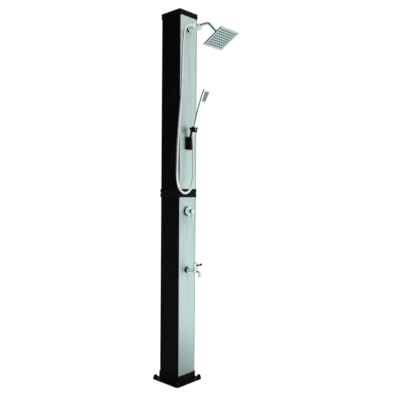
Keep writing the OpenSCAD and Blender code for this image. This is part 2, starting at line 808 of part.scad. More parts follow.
module head_shell() color("#cfd4d5") at_head() difference() {
    back = -head_drop + head_t;
    chamber_s = head_s - 2 * (plate_inset + chamber_inset);
    union() {
        translate([0, 0, -head_drop]) linear_extrude(head_t) rounded_plan(head_s, head_s, head_r);
        translate([0, 0, back]) cylinder(d1 = neck_foot_d, d2 = neck_d, h = collar_foot - gap - back);
        rod(neck_d, back, neck_top - gap);
    }
    sphere(r = ball_d / 2 + gap);
    rod(head_bore_d, -head_drop, 0);
    translate([0, 0, -head_drop - cut]) linear_extrude(plate_t + mat_t + cut)
        rounded_plan(head_s - 2 * plate_inset, head_s - 2 * plate_inset, head_r);
    translate([0, 0, -head_drop]) linear_extrude(head_t - head_wall)
        rounded_plan(chamber_s, chamber_s, head_r);
}
module at_nozzles() {
    first = -(nozzle_n - 1) / 2 * nozzle_pitch;
    for (i = [0 : nozzle_n - 1], j = [0 : nozzle_n - 1])
        translate([first + i * nozzle_pitch, first + j * nozzle_pitch, -head_drop]) children();
}
module spray_plate() color("#a9b3b0") at_head() difference() {
    side = head_s - 2 * plate_inset - 2 * ring_fit;
    translate([0, 0, -head_drop]) linear_extrude(plate_t) rounded_plan(side, side, head_r);
    at_nozzles() rod(nozzle_d + 2 * slip, -cut, plate_t + cut);
}
module nozzle_mat() color("#4a5552") at_head() {
    side = head_s - 2 * plate_inset - 2 * ring_fit;
    translate([0, 0, -head_drop + plate_t]) linear_extrude(mat_t) rounded_plan(side, side, head_r);
    at_nozzles() {
        rod(nozzle_d, 0, plate_t);
        rod(nozzle_tip_d, -nozzle_out, 0);
    }
}

// Hose nuts
module hose_nut_upper() color("#d5d9da") front_at(diverter_z) translate([0, 0, cross_out]) along_x()
    difference() {
        union() {
            hexagon(hose_nut_af, -outlet_x - nut_hex_len, -outlet_x);
            translate([0, 0, -outlet_x - hose_nut_len])
                cylinder(d1 = hose_nut_end_d, d2 = hose_nut_af, h = hose_nut_len - nut_hex_len);
        }
        rod(thread_d + 2 * slip, -outlet_x - outlet_thread_len - slip, -outlet_x + cut);
        rod(bore_d / 2, -outlet_x - hose_nut_len - cut, -outlet_x);
    }
module at_hand() translate(clip_p) rotate([hand_lean, 0, 0]) children();
module hose_nut_lower() color("#d5d9da") at_hand() difference() {
    rotate_extrude() polygon([[0, nut_foot], [nut_foot_r, nut_foot], [nut_r, nut_cone_top],
        [nut_r, nut_top], [0, nut_top]]);
    rod(spigot_d + 2 * slip, nut_top - spigot_len, nut_top + cut);
    rod(bore_d / 2, nut_foot - cut, nut_top);
    for (k = [0 : nut_grip_n - 1]) rotate([0, 0, k * 360 / nut_grip_n])
        translate([nut_r, 0, 0]) rod(flute_rim / 2, nut_top - nut_foot_r / 2, nut_top + cut);
}

// Hose: one run from nut to nut, swept along a smooth curve through its points
hand_up = [0, -sin(hand_lean), cos(hand_lean)];
hose_start = [-outlet_x - hose_nut_len - run, front_y - cross_out, diverter_z];
hose_finish = clip_p + (nut_foot - run) * hand_up;
route = concat([hose_start], hose_points, [hose_finish - hose_d * hand_up, hose_finish]);
function way(i) = i == 0 ? [-1, 0, 0] : i == len(route) - 1 ? hand_up
    : (route[i + 1] - route[i - 1]) / norm(route[i + 1] - route[i - 1]);
function curve(i, t) = let (a = route[i], b = route[i + 1], c = norm(b - a),
    p = a + way(i) * c / 3, q = b - way(i + 1) * c / 3, u = 1 - t)
    u * u * u * a + 3 * u * u * t * p + 3 * u * t * t * q + t * t * t * b;
function slope(i, t) = let (a = route[i], b = route[i + 1], c = norm(b - a),
    p = a + way(i) * c / 3, q = b - way(i + 1) * c / 3, u = 1 - t,
    v = u * u * (p - a) + 2 * u * t * (q - p) + t * t * (b - q)) v / norm(v);
function steps_of(i) = norm(route[i + 1] - route[i]) > hose_long_share * hose_d
    ? hose_steps : hose_short_steps;
hose_places = concat([for (i = [0 : len(route) - 2], k = [0 : steps_of(i) - 1]) [i, k / steps_of(i)]],
    [[len(route) - 2, 1]]);
hose_mid = len([for (p = hose_places) if (p[0] < hose_split) p]);
function hose_ring(p) = let (c = curve(p[0], p[1]), w = slope(p[0], p[1]),
    side = cross(w, [0, 1, 0]), n = side / norm(side), m = cross(w, n))
    [for (k = [0 : hose_sides - 1]) c + hose_d / 2 * (cos(k * 360 / hose_sides) * n
        + sin(k * 360 / hose_sides) * m)];
module skin(rings) {
    n = len(rings[0]);
    last = len(rings) - 1;
    polyhedron([for (r = rings, p = r) p], concat(
        [for (i = [0 : last - 1], k = [0 : n - 1]) each [[i * n + k, (i + 1) * n + k, i * n + (k + 1) % n],
            [(i + 1) * n + k, (i + 1) * n + (k + 1) % n, i * n + (k + 1) % n]]],
        [[for (k = [0 : n - 1]) k]], [[for (k = [n - 1 : -1 : 0]) last * n + k]]));
}
module hose() color("#c9c8bd") skin([for (i = [0 : hose_mid]) hose_ring(hose_places[i])]);
module hose_end() color("#c9c8bd")
    skin([for (i = [hose_mid : len(hose_places) - 1]) hose_ring(hose_places[i])]);

// Wall bracket and the holder that tilts on it
pivot_p = [0, front_y - tilt_f, bracket_z + bracket_h / 2 - tilt_drop];
module bracket_base() color("#0f1112") front_at(bracket_z) difference() {
    fork_foot = bracket_h / 2 - tilt_drop - eye_r - gap;
    union() {
        linear_extrude(bracket_t) rounded_plan(bracket_w, bracket_h, bracket_r);
        translate([0, boss_foot / 2, bracket_t]) linear_extrude(boss_t)
            rounded_plan(boss_w, bracket_h - boss_foot, bracket_r / 2);
    }
    translate([-eye_w / 2 - gap, fork_foot, tilt_f - eye_r - fork_room])
        cube([eye_w + 2 * gap, bracket_h, bracket_t + boss_t]);
    translate([0, bracket_h / 2 - tilt_drop, tilt_f]) along_x() rod(tilt_d, -boss_w, boss_w);
    both_sides() translate([bracket_screw_x, 0, 0]) {
        rod(screw_d + 2 * slip, -cut, bracket_t + cut);
        rod(screw_head_d - screw_head_t + 2 * slip, bracket_t - screw_head_t, bracket_t + cut);
    }
}
module bracket_screws() color("#8d9294") front_at(bracket_z) both_sides()
    translate([bracket_screw_x, 0, bracket_t]) {
        rod(screw_head_d - screw_head_t, -screw_head_t, 0);
        rod(screw_d, -bracket_screw_len, -screw_head_t);
    }
module tilt_pin() color("#9a9fa1") translate(pivot_p) along_x() rod(tilt_d, -boss_w / 2, boss_w / 2);
module holder_arm() color("#0f1112") difference() {
    union() {
        translate(pivot_p) along_x() rod(2 * eye_r, -eye_w / 2, eye_w / 2);
        hull() {
            translate(pivot_p) along_x() rod(bar_t, -eye_w / 2, eye_w / 2);
            translate([0, knuckle_p[0], knuckle_p[1]]) along_x() rod(bar_t, -eye_w / 2, eye_w / 2);
        }
        translate([0, knuckle_p[0], knuckle_p[1]]) along_x()
            rod(2 * knuckle_r, -knuckle_w / 2, knuckle_w / 2);
        at_hand() rod(2 * clip_r, clip_foot, clip_foot + clip_len);
    }
    translate(pivot_p) along_x() rod(tilt_d + 2 * run, -boss_w, boss_w);
    at_hand() {
        rotate_extrude() polygon([[0, clip_foot - cut], [clip_bore(clip_foot - cut), clip_foot - cut],
            [clip_bore(nut_cone_top), nut_cone_top], [clip_bore(nut_cone_top), clip_foot + clip_len + cut],
            [0, clip_foot + clip_len + cut]]);
        translate([-clip_mouth / 2, -2 * clip_r, clip_foot - cut])
            cube([clip_mouth, 2 * clip_r, clip_len + 2 * cut]);
    }
}
function clip_bore(s) = gap + nut_foot_r + (nut_r - nut_foot_r) * (s - nut_foot) / (nut_cone_top - nut_foot);

// Handset: a bar that bends and widens from its handle to its head
hand_bend_r = hand_arc * 180 / (PI * hand_bend);
function hand_turn(u) = hand_bend * min(max((u - hand_straight) / hand_arc, 0), 1);
function hand_mid(u) = let (b = hand_turn(u), rest = max(u - hand_straight - hand_arc, 0))
    [0, -hand_bend_r * (1 - cos(b)) - rest * sin(b),
     nut_top + min(u, hand_straight) + hand_bend_r * sin(b) + rest * cos(b)];
hand_shares = [[0, 0.43, 0.8], [0.02, 0.46, 0.86], [0.25, 0.5, 0.87], [0.42, 0.57, 0.9], [0.54, 0.68, 0.94],
    [0.66, 0.82, 0.98], [0.76, 0.92, 1], [0.86, 0.99, 1], [0.97, 1, 1], [0.99, 0.98, 0.95], [1, 0.94, 0.86]];
hand_sides = 24;
hand_square = 0.5;
function corner(v) = sign(v) * pow(abs(v), hand_square);
function hand_ring(s) = let (u = s[0] * hand_len, b = hand_turn(u), c = hand_mid(u))
    [for (k = [0 : hand_sides - 1]) let (a = k * 360 / hand_sides, x = s[1] * hand_w / 2 * corner(cos(a)),
        y = s[2] * hand_t / 2 * corner(sin(a))) c + [x, y * cos(b), y * sin(b)]];
module at_face() at_hand() translate(hand_mid(hand_len - face_end - face_len / 2))
    rotate([90 + hand_bend, 0, 0]) translate([0, 0, hand_t / 2]) children();
function spigot_ring(z) = [for (k = [0 : hand_sides - 1]) let (a = k * 360 / hand_sides)
    [spigot_d / 2 * cos(a), spigot_d / 2 * sin(a), z]];
module handset_body() color("#dfe3e4") difference() {
    at_hand() skin(concat([spigot_ring(nut_top - spigot_len + slip), spigot_ring(nut_top)],
        [for (s = hand_shares) hand_ring(s)]));
    at_face() translate([0, 0, -face_t]) linear_extrude(hand_t) face_plan(face_w, face_len);
}
// The face narrows towards the handle: its width at a share of its length, and its outline
function face_width(w, share) = w * (face_foot_share + (1 - face_foot_share) * share);
module face_plan(w, len) polygon([[-face_width(w, 0) / 2, -len / 2], [face_width(w, 0) / 2, -len / 2],
    [w / 2, len / 2], [-w / 2, len / 2]]);
module handset_face() color("#8fa39b") at_face() {
    translate([0, 0, -face_t]) linear_extrude(face_t) face_plan(face_w - 2 * slip, face_len - 2 * slip);
    for (i = [1 : jet_columns], j = [1 : jet_rows]) let (up = j / (jet_rows + 1))
        translate([face_width(face_w, up) * (i / (jet_columns + 1) - 1 / 2), face_len * (up - 1 / 2), 0])
            rod(jet_d, 0, jet_out);
}

// Mixer
module mixer_body() color("#b5934e") front_at(mixer_z) difference() {
    union() {
        block(-block_w / 2, block_w / 2);
        rod(cartridge_d + 2 * barrel_wall, block_front_f, barrel_out);
    }
    pipe_port(-pipe_x, 1);
    pipe_port(pipe_x, -1);
    pipe_port(0, -1);
    rod(cartridge_d + 2 * slip, block_front_f - spindle_in, barrel_out + cut);
}
module mixer_cartridge() color("#e8e6dc") front_at(mixer_z) difference() {
    rod(cartridge_d, block_front_f - spindle_in, barrel_out);
    rod(spindle_d + 2 * run, spindle_in, barrel_out + cut);
}
module cartridge_nut() color("#d5d9da") front_at(mixer_z) rotate_extrude() difference() {
    r = cartridge_d / 2 + barrel_wall;
    union() {
        translate([0, barrel_out]) square([r, dome_t * dish_rim_share]);
        intersection() {
            translate([0, barrel_out + dome_t - r * dome_share]) circle(r = r * dome_share);
            translate([0, barrel_out]) square([r, dome_t]);
        }
    }
    square([dome_hole_d / 2, 2 * (barrel_out + dome_t)]);
}
module mixer_rosette() color("#d5d9da") front_at(mixer_z)
    dish(mixer_plate_d, plate_dish_t, cartridge_d + 2 * (barrel_wall + slip));
module mixer_spindle() color("#a8acae") front_at(mixer_z) {
    rod(spindle_d, spindle_in + gap, spindle_out);
    translate([0, 0, pin_out]) along_x() rod(pin_d, -pin_len / 2, pin_len / 2);
}
module mixer_lever() color("#dfe3e4") front_at(mixer_z) difference() {
    union() {
        rod(hub_d, hub_back, hub_front - lever_edge);
        translate([0, 0, hub_front - lever_edge])
            cylinder(d1 = hub_d, d2 = hub_d - 2 * lever_edge, h = lever_edge);
        for (i = [0 : len(lever_shares) - 2]) hull() {
            lever_rib(lever_shares[i]);
            lever_rib(lever_shares[i + 1]);
        }
    }
    translate([-spindle_d / 2 - slot_room, -hub_slot_h / 2, hub_back - cut])
        cube([spindle_d + 2 * slot_room, hub_slot_h, hub_slot_front - hub_back + cut]);
    translate([0, 0, pin_out]) along_x() rod(pin_d + 2 * run, -hub_d, hub_d);
}
module lever_rib(s) translate([0, -s[0] * lever_len, s[1] * lever_len]) along_x()
    cylinder(d = s[2] * lever_w, h = lever_w * s[3], center = true, $fn = 32);

// Foot tap
module tap_rosette() color("#d5d9da") front_at(tap_z) dish(tap_plate_d, plate_dish_t, thread_d + 2 * slip);
module tap_body() color("#d5d9da") front_at(tap_z) difference() {
    union() {
        rod(thread_d, block_front_f - nipple_in, plate_dish_t);
        rod(tap_barrel_d, plate_dish_t, tap_out);
        hexagon(tap_hex_af, tap_hex_f, tap_hex_f + tap_hex_len);
        translate([0, 0, tap_out]) rotate([-90, 0, 0]) rod(tap_hub_d, tap_hub_foot, tap_hub_top);
        spout();
    }
    rod(way_d, block_front_f - nipple_in - cut, tap_out - spout_drop);
    translate([0, 0, tap_out]) rotate([-90, 0, 0]) rod(bore_d, tap_hub_foot / 2, tap_hub_top + cut);
    at_spout_end() rod(way_d, -spout_drop, spout_end_len + cut);
}
module spout() translate([0, -spout_drop - spout_bend_r, tap_out + spout_len]) rotate([90, 0, 90])
    bent_rod(spout_d, spout_bend_r, spout_bend_a, spout_len - spout_drop, spout_end_len);
module at_spout_end() translate([0, -spout_drop - spout_bend_r * (1 - cos(spout_bend_a)),
    tap_out + spout_len + spout_bend_r * sin(spout_bend_a)]) rotate([spout_bend_a, 0, 0]) children();
module tap_outlet_ring() color("#d5d9da") front_at(tap_z) at_spout_end() difference() {
    rod(ring_d, spout_end_len - ring_len / 2, spout_end_len + ring_len / 2);
    rod(spout_d + 2 * slip, spout_end_len - ring_len, spout_end_len);
    rod(bore_d, spout_end_len - cut, spout_end_len + ring_len);
}
module at_cap() translate([0, front_y - tap_out, tap_z]) children();
module tap_bonnet() color("#c9cdce") at_cap() difference() {
    union() {
        hexagon(bonnet_af, tap_hub_top, tap_hub_top + bonnet_t);
        rod(bore_d - 2 * slip, tap_hub_top - bonnet_t, tap_hub_top);
    }
    rod(stem_d + 2 * run, tap_hub_top - bonnet_t - cut, tap_hub_top + bonnet_t + cut);
}
module tap_cap() color("#dfe3e4") at_cap() {
    foot = tap_hub_top + bonnet_t + gap;
    r = tap_cap_d / 2;
    rod(stem_d, tap_hub_top - bonnet_t, foot);
    difference() {
        union() {
            rod(tap_cap_d, foot, tap_cap_top - r * cap_dome_share);
            translate([0, 0, tap_cap_top - r * cap_dome_share]) rotate_extrude() intersection() {
                translate([0, r * (cap_dome_share - 1 / cap_dome_share) / 2])
                    circle(r = r * (cap_dome_share + 1 / cap_dome_share) / 2);
                square([r, r]);
            }
        }
        at_handle() rod(tap_handle_d + 2 * slip, handle_in, 2 * tap_cap_d);
    }
}
module at_handle() translate([0, 0, tap_stem_rise]) rotate([90 - handle_a, 0, 0]) children();
module tap_lever() color("#101314") at_cap() at_handle() {
    rod(tap_handle_d, handle_in, tap_lever_len);
    translate([0, 0, tap_lever_len]) sphere(d = tap_ball_d);
}

base_foot();
anchor_caps();
lower_column();
upper_column();
lower_front_panel();
upper_front_panel();
lower_collar();
upper_collar();
joint_gasket();
joint_sleeve();
casing_screws();
top_cap();
link_pipe();
link_nuts();
link_seals();
inlet_connector();
inlet_nut();
feed_pipe();
cold_manifold();
fill_pipe();
cold_riser();
tap_tee();
hot_pipe();
tank_fittings();
mixed_riser();
riser_elbow();
drain_plug();
diverter_rosette();
inlet_lock_nut();
diverter_body();
diverter_knob();
arm_nut();
shower_arm();
arm_ball();
head_collar();
head_shell();
spray_plate();
nozzle_mat();
hose_nut_upper();
hose();
hose_end();
hose_nut_lower();
bracket_base();
bracket_screws();
tilt_pin();
holder_arm();
handset_body();
handset_face();
mixer_body();
mixer_cartridge();
cartridge_nut();
mixer_rosette();
mixer_spindle();
mixer_lever();
tap_rosette();
tap_body();
tap_bonnet();
tap_cap();
tap_lever();
tap_outlet_ring();
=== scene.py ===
"""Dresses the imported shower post: its visible pieces, their finishes, the floor, the lamps and the camera."""
import json
import math

import bmesh
import bpy
from mathutils import Matrix, Vector


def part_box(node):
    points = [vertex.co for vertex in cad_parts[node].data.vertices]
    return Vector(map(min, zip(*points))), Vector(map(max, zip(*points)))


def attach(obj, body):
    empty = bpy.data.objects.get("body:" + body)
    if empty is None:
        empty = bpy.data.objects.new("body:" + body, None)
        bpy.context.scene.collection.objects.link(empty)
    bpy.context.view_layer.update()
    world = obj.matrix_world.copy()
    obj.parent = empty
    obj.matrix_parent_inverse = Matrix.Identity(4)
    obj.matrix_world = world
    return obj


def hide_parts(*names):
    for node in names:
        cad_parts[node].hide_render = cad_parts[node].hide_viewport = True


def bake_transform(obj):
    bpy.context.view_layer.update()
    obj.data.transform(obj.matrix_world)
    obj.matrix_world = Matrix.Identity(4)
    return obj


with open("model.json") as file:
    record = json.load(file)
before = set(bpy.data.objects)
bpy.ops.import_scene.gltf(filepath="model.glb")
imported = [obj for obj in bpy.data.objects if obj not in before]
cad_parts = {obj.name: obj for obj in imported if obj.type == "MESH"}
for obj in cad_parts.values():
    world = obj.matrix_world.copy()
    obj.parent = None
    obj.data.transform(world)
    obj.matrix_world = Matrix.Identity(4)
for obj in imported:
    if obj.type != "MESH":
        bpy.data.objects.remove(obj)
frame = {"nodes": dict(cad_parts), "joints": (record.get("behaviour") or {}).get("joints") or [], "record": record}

bl_info = {
    "name": "Outdoor Shower Post",
    "version": (1, 0, 0),
    "blender": (4, 5, 0),
    "location": "View3D > Sidebar > Shower Post",
    "description": "Builds the pieces and finishes of an outdoor shower post over its packed model",
    "category": "Object",
}

MM = 0.001
TURN = 2 * math.pi


# Places, in millimetres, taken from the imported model

def span(node):
    low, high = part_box(node)
    return low / MM, high / MM


def middle(node, axis):
    low, high = span(node)
    return (low[axis] + high[axis]) / 2


def joint(name):
    return next(j for j in frame["joints"] if j["name"] == name)


def joint_point(name):
    return Vector(joint(name)["pos_m"]) / MM


def joint_lean(name):
    """How far a joint's axis leans out of upright, towards the front."""
    axis = joint(name)["axis"]
    return math.atan2(-axis[1], axis[2])


SLOTS = {part["node"]: part["material_slot"] for part in frame["record"]["subparts"]}
BODIES = {node: body for body, nodes in frame["record"]["behaviour"]["bodies"].items() for node in nodes}
FRONT = span("upper_front_panel")[0].y
TOP = span("top_cap")[1].z
COLUMN = span("upper_column")[1] - span("upper_column")[0]
COLUMN_BACK = span("upper_column")[1].y
DIVERTER_Z = middle("diverter_rosette", 2)
MIXER_Z = middle("mixer_rosette", 2)
TAP_Z = middle("tap_rosette", 2)
BRACKET_Z = middle("bracket_base", 2)
PANEL_W = span("upper_front_panel")[1].x - span("upper_front_panel")[0].x
BALL = joint_point("head_spin")
PIVOT = joint_point("holder_tilt")
CROSS_OUT = FRONT - joint_point("diverter_turn").y
TAP_OUT = FRONT - joint_point("tap_turn").y
TILT = -joint_lean("head_spin")
LEAN = joint_lean("handset_lift")
CLIP = Vector((0, -126, BRACKET_Z + 71))
HAND_UP = Vector((0, -math.sin(LEAN), math.cos(LEAN)))


def moved(x, y, z):
    return Matrix.Translation((x, y, z))


def turned_about(axis, degrees):
    return Matrix.Rotation(math.radians(degrees), 4, axis)


def front_at(z):
    return moved(0, FRONT, z) @ turned_about("X", 90)


def rear_at(z):
    return moved(0, COLUMN_BACK, z) @ turned_about("X", -90)


ALONG_X = turned_about("Y", 90)
AT_HEAD = Matrix.Translation(BALL) @ Matrix.Rotation(-TILT, 4, "X")
AT_HAND = Matrix.Translation(CLIP) @ Matrix.Rotation(LEAN, 4, "X")


# Outlines

def eased(points, radius, steps=3, closed=False):
    """The same outline with its corners rounded off."""
    out = []
    count = len(points)
    for i, point in enumerate(points):
        if not closed and i in (0, count - 1):
            out.append(tuple(point))
            continue
        corner = Vector(point)
        before = Vector(points[i - 1]) - corner
        after = Vector(points[(i + 1) % count]) - corner
        reach = min(radius, before.length * 0.45, after.length * 0.45)
        start = corner + before.normalized() * reach
        end = corner + after.normalized() * reach
        for k in range(steps + 1):
            t = k / steps
            out.append(tuple((1 - t) ** 2 * start + 2 * t * (1 - t) * corner + t * t * end))
    return out


def plan(width, depth, radius, grow=0.0, height=0.0, steps=6):
    """A rounded rectangle, grown outwards, as one ring of points."""
    r = max(radius + grow, 0.02)
    x, y = width / 2 + grow - r, depth / 2 + grow - r
    ring = []
    for i, (sx, sy) in enumerate(((1, 1), (-1, 1), (-1, -1), (1, -1))):
        for k in range(steps + 1):
            angle = math.pi / 2 * (i + k / steps)
            ring.append((sx * x + r * math.cos(angle), sy * y + r * math.sin(angle), height))
    return ring


def circle(radius, height, count=64, wave=None):
    ring = []
    for k in range(count):
        angle = TURN * k / count
        r = radius + (wave(angle) if wave else 0)
        ring.append((r * math.cos(angle), r * math.sin(angle), height))
    return ring


def section(centre, way, across, radius, count):
    """Points round a bar's middle line, square to the way it runs."""
    side = way.cross(across).normalized()
    other = way.cross(side)
    return [centre + radius * (math.cos(TURN * k / count) * side + math.sin(TURN * k / count) * other)
            for k in range(count)]


def squared(wide, deep, power, count):
    """Points of a rectangle with full corners, as pairs."""
    pairs = []
    for k in range(count):
        c, s = math.cos(TURN * k / count), math.sin(TURN * k / count)
        pairs.append((wide * math.copysign(abs(c) ** power, c), deep * math.copysign(abs(s) ** power, s)))
    return pairs


def hexagon(half, angle):
    """How far a hexagon's edge is from its middle at an angle."""
    return half / math.cos(angle % (math.pi / 3) - math.pi / 6)


def smooth_path(points, steps):
    """Points along a curve through the given points."""
    ends = [points[0] * 2 - points[1]] + list(points) + [points[-1] * 2 - points[-2]]
    out = []
    for i in range(1, len(ends) - 2):
        a, b, c, d = ends[i - 1:i + 3]
        for k in range(steps):
            t = k / steps
            out.append(0.5 * (2 * b + (c - a) * t + (2 * a - 5 * b + 4 * c - d) * t * t
                              + (3 * b - a - 3 * c + d) * t ** 3))
    out.append(points[-1])
    return out


class Form:
    """The shells of one piece, gathered in millimetres and made into one object in metres."""

    def __init__(self, name, place=None):
        self.name = name
        self.place = place or Matrix()
        self.mesh = bmesh.new()

    def skin(self, rings, place=None, closed=False, ends=(True, True)):
        where = self.place @ (place or Matrix())
        rows = [[self.mesh.verts.new(where @ Vector(p)) for p in ring] for ring in rings]
        count = len(rows[0])
        pairs = list(zip(rows, rows[1:]))
        if closed:
            pairs.append((rows[-1], rows[0]))
        for low, high in pairs:
            for k in range(count):
                m = (k + 1) % count
                self.mesh.faces.new((low[k], low[m], high[m], high[k]))
        if not closed and ends[0]:
            self.mesh.faces.new(rows[0][::-1])
        if not closed and ends[1]:
            self.mesh.faces.new(rows[-1])
        return self

    def turn(self, profile, place=None, closed=False, count=64, wave=None):
        """A turned shell from an outline of (radius, height); wave(angle, height) makes flutes or knurls."""
        rings = []
        for radius, height in profile:
            shape = (lambda angle, h=height: wave(angle, h)) if wave and radius > 0 else None
            rings.append(circle(radius, height, count, shape))
        return self.skin(rings, place, closed, (profile[0][0] > 0, profile[-1][0] > 0))

    def hoop(self, outline, soft, steps=3, place=None, count=64):
        """A turned ring from a closed outline whose corners are rounded off."""
        return self.turn(eased(outline, soft, steps, closed=True), place, closed=True, count=count)

    def nut(self, flats, start, end, hole, place=None, lip=0.5):
        """A hexagon nut whose ends are turned to cones."""
        count = 96
        edge = flats / 2 - lip

        def flat(angle):
            return hexagon(flats / 2, angle)

        def drop(angle):
            return (flat(angle) - edge) / 1.732

        def row(radius, height):
            return [(radius(a) * math.cos(a), radius(a) * math.sin(a), height(a))
                    for a in (TURN * k / count for k in range(count))]
        rings = [row(lambda a: hole, lambda a: start), row(lambda a: edge, lambda a: start),
                 row(flat, lambda a: start + drop(a)), row(flat, lambda a: end - drop(a)),
                 row(lambda a: edge, lambda a: end), row(lambda a: hole, lambda a: end)]
        return self.skin(rings, place, closed=True)

    def sweep(self, path, radius, count):
        """A round bar along a path that keeps to one x."""
        rings = []
        last = len(path) - 1
        for i, point in enumerate(path):
            way = (path[min(i + 1, last)] - path[max(i - 1, 0)]).normalized()
            rings.append(section(point, way, Vector((1, 0, 0)), radius, count))
        return self.skin(rings)

    def block(self, width, depth, radius, profile, place=None, steps=6):
        """A rounded rectangle raised through an outline of (grow, height)."""
        return self.skin([plan(width, depth, radius, grow, height, steps) for grow, height in profile], place)

    def solid(self):
        """The object alone, without a finish or a body, as a piece or a cutting tool."""
        bmesh.ops.recalc_face_normals(self.mesh, faces=self.mesh.faces)
        bmesh.ops.scale(self.mesh, vec=(MM, MM, MM), verts=self.mesh.verts)
        data = bpy.data.meshes.new(self.name)
        self.mesh.to_mesh(data)
        self.mesh.free()
        made = bpy.data.objects.new(self.name, data)
        bpy.context.scene.collection.objects.link(made)
        return made

    def piece(self, node, slot=None, finish=None, sharp=32, after=None):
        """Makes the object, gives it its finish, and hangs it on its node's body in place of the node."""
        slot = slot or SLOTS[node]
        bmesh.ops.remove_doubles(self.mesh, verts=self.mesh.verts, dist=0.001)
        made = self.solid()
        if after:
            after(made)
        made.data.shade_smooth()
        made.data.set_sharp_from_angle(angle=math.radians(sharp))
        made.data.materials.clear()
        made.data.materials.append(finish_of(finish or slot))
        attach(made, BODIES[node])
        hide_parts(node)
        return made


def worked(made, cuts=(), bevel=0.0, angle=50):
    """Cuts a piece with other forms, then softens its edges, and keeps the result."""
    for tool in cuts:
        step = made.modifiers.new("cut", "BOOLEAN")
        step.operation = "DIFFERENCE"
        step.solver = "EXACT"
        step.object = tool
    if bevel:
        step = made.modifiers.new("edges", "BEVEL")
        step.width = bevel * MM
        step.segments = 2
        step.limit_method = "ANGLE"
        step.angle_limit = math.radians(angle)
        step.harden_normals = False
    bpy.context.view_layer.update()
    shaped = bpy.data.meshes.new_from_object(made.evaluated_get(bpy.context.evaluated_depsgraph_get()))
    made.modifiers.clear()
    made.data = shaped
    for tool in cuts:
        bpy.data.objects.remove(tool)


# Finishes

class Value:
    """A socket of a material, so that sums on it read as sums."""

    def __init__(self, finish, socket):
        self.finish = finish
        self.socket = socket

    def _sum(self, operation, a, b):
        return self.finish.node("ShaderNodeMath", {"operation": operation}, {0: a, 1: b})

    def __add__(self, other):
        return self._sum("ADD", self, other)

    def __radd__(self, other):
        return self._sum("ADD", other, self)

    def __sub__(self, other):
        return self._sum("SUBTRACT", self, other)

    def __mul__(self, other):
        return self._sum("MULTIPLY", self, other)

    def __rmul__(self, other):
        return self._sum("MULTIPLY", other, self)


class Tree:
    """The nodes of one material or world, all made by one method."""

    def __init__(self, owner):
        owner.use_nodes = True
        self.tree = owner.node_tree
        self.tree.nodes.clear()

    def node(self, kind, settings=None, inputs=None, out=0):
        """Adds a node: its settings first, then the values or links of its sockets."""
        made = self.tree.nodes.new(kind)
        for key, value in (settings or {}).items():
            if key == "stops":
                ramp = made.color_ramp.elements
                while len(ramp) < len(value):
                    ramp.new(0.5)
                for stop, (where, shade) in zip(ramp, value):
                    stop.position = where
                    stop.color = (shade, shade, shade, 1)
            else:
                setattr(made, key, value)
        for key, value in (inputs or {}).items():
            if isinstance(value, Value):
                self.tree.links.new(value.socket, made.inputs[key])
            else:
                made.inputs[key].default_value = value
        return None if out is None else Value(self, made.outputs[out])

    def blend(self, factor, a, b):
        """One shader turning into another."""
        return self.node("ShaderNodeMixShader", {}, {0: factor, 1: a, 2: b})

    def seen(self):
        """1 where the camera looks at this straight or through something clear."""
        return self.node("ShaderNodeMath", {"operation": "MAXIMUM"}, {
            0: self.node("ShaderNodeLightPath", out="Is Camera Ray"),
            1: self.node("ShaderNodeLightPath", out="Is Transmission Ray")})


class Finish(Tree):
    """One procedural material, from object coordinates in metres."""

    def __init__(self, name, **shader):
        self.material = bpy.data.materials.new(name)
        super().__init__(self.material)
        self.surface = self.tree.nodes.new("ShaderNodeBsdfPrincipled")
        self.node("ShaderNodeOutputMaterial", {}, {0: Value(self, self.surface.outputs[0])}, None)
        for socket, value in shader.items():
            self.surface.inputs[socket.replace("_", " ")].default_value = value
        self.place = self.node("ShaderNodeTexCoord", out="Object")

    def noise(self, scale, detail=4.0, stretch=(1, 1, 1)):
        where = self.node("ShaderNodeVectorMath", {"operation": "MULTIPLY"}, {0: self.place, 1: stretch})
        return self.node("ShaderNodeTexNoise", {}, {"Vector": where, "Scale": scale, "Detail": detail})

    def marks(self, scale, low, high, stretch=(1, 1, 1), detail=5.0):
        """Patches that are 0 below one level of a noise and 1 above another."""
        return self.node("ShaderNodeValToRGB", {"stops": [(low, 0.0), (high, 1.0)]},
                         {"Fac": self.noise(scale, detail, stretch)})

    def mix(self, factor, a, b):
        return self.node("ShaderNodeMix", {"data_type": "RGBA"}, {0: factor, 6: a, 7: b}, 2)

    def done(self, colour, roughness, height, distance, strength=1.0):
        """Links the colour, the roughness and the relief, and gives the material."""
        bump = self.node("ShaderNodeBump", {}, {"Height": height, "Distance": distance, "Strength": strength})
        for socket, value in (("Base Color", colour), ("Roughness", roughness), ("Normal", bump)):
            self.tree.links.new(value.socket, self.surface.inputs[socket])
        return self.material


def shade(colour, share):
    return tuple(min(c * share, 1.0) for c in colour[:3]) + (1.0,)


def moulded_black(name, colour, gloss, grain):
    """Black plastic or powder coat: a fine grain, faint dust and rubbed patches."""
    finish = Finish(name, Metallic=0.0, Specular_IOR_Level=0.05)
    dust = finish.marks(9, 0.52, 0.78, (1, 1, 0.5))
    rub = finish.marks(55, 0.55, 0.7, (1, 1, 0.35))
    tone = finish.mix(0.6 * dust, shade(colour, 1.0), shade(colour, 2.6))
    return finish.done(finish.mix(0.5 * rub, tone, shade(colour, 0.7)),
                       gloss + 0.12 * dust - 0.08 * rub + 0.06 * finish.noise(420),
                       finish.noise(1500, 2.0) + 0.35 * finish.noise(260, 3.0), grain)


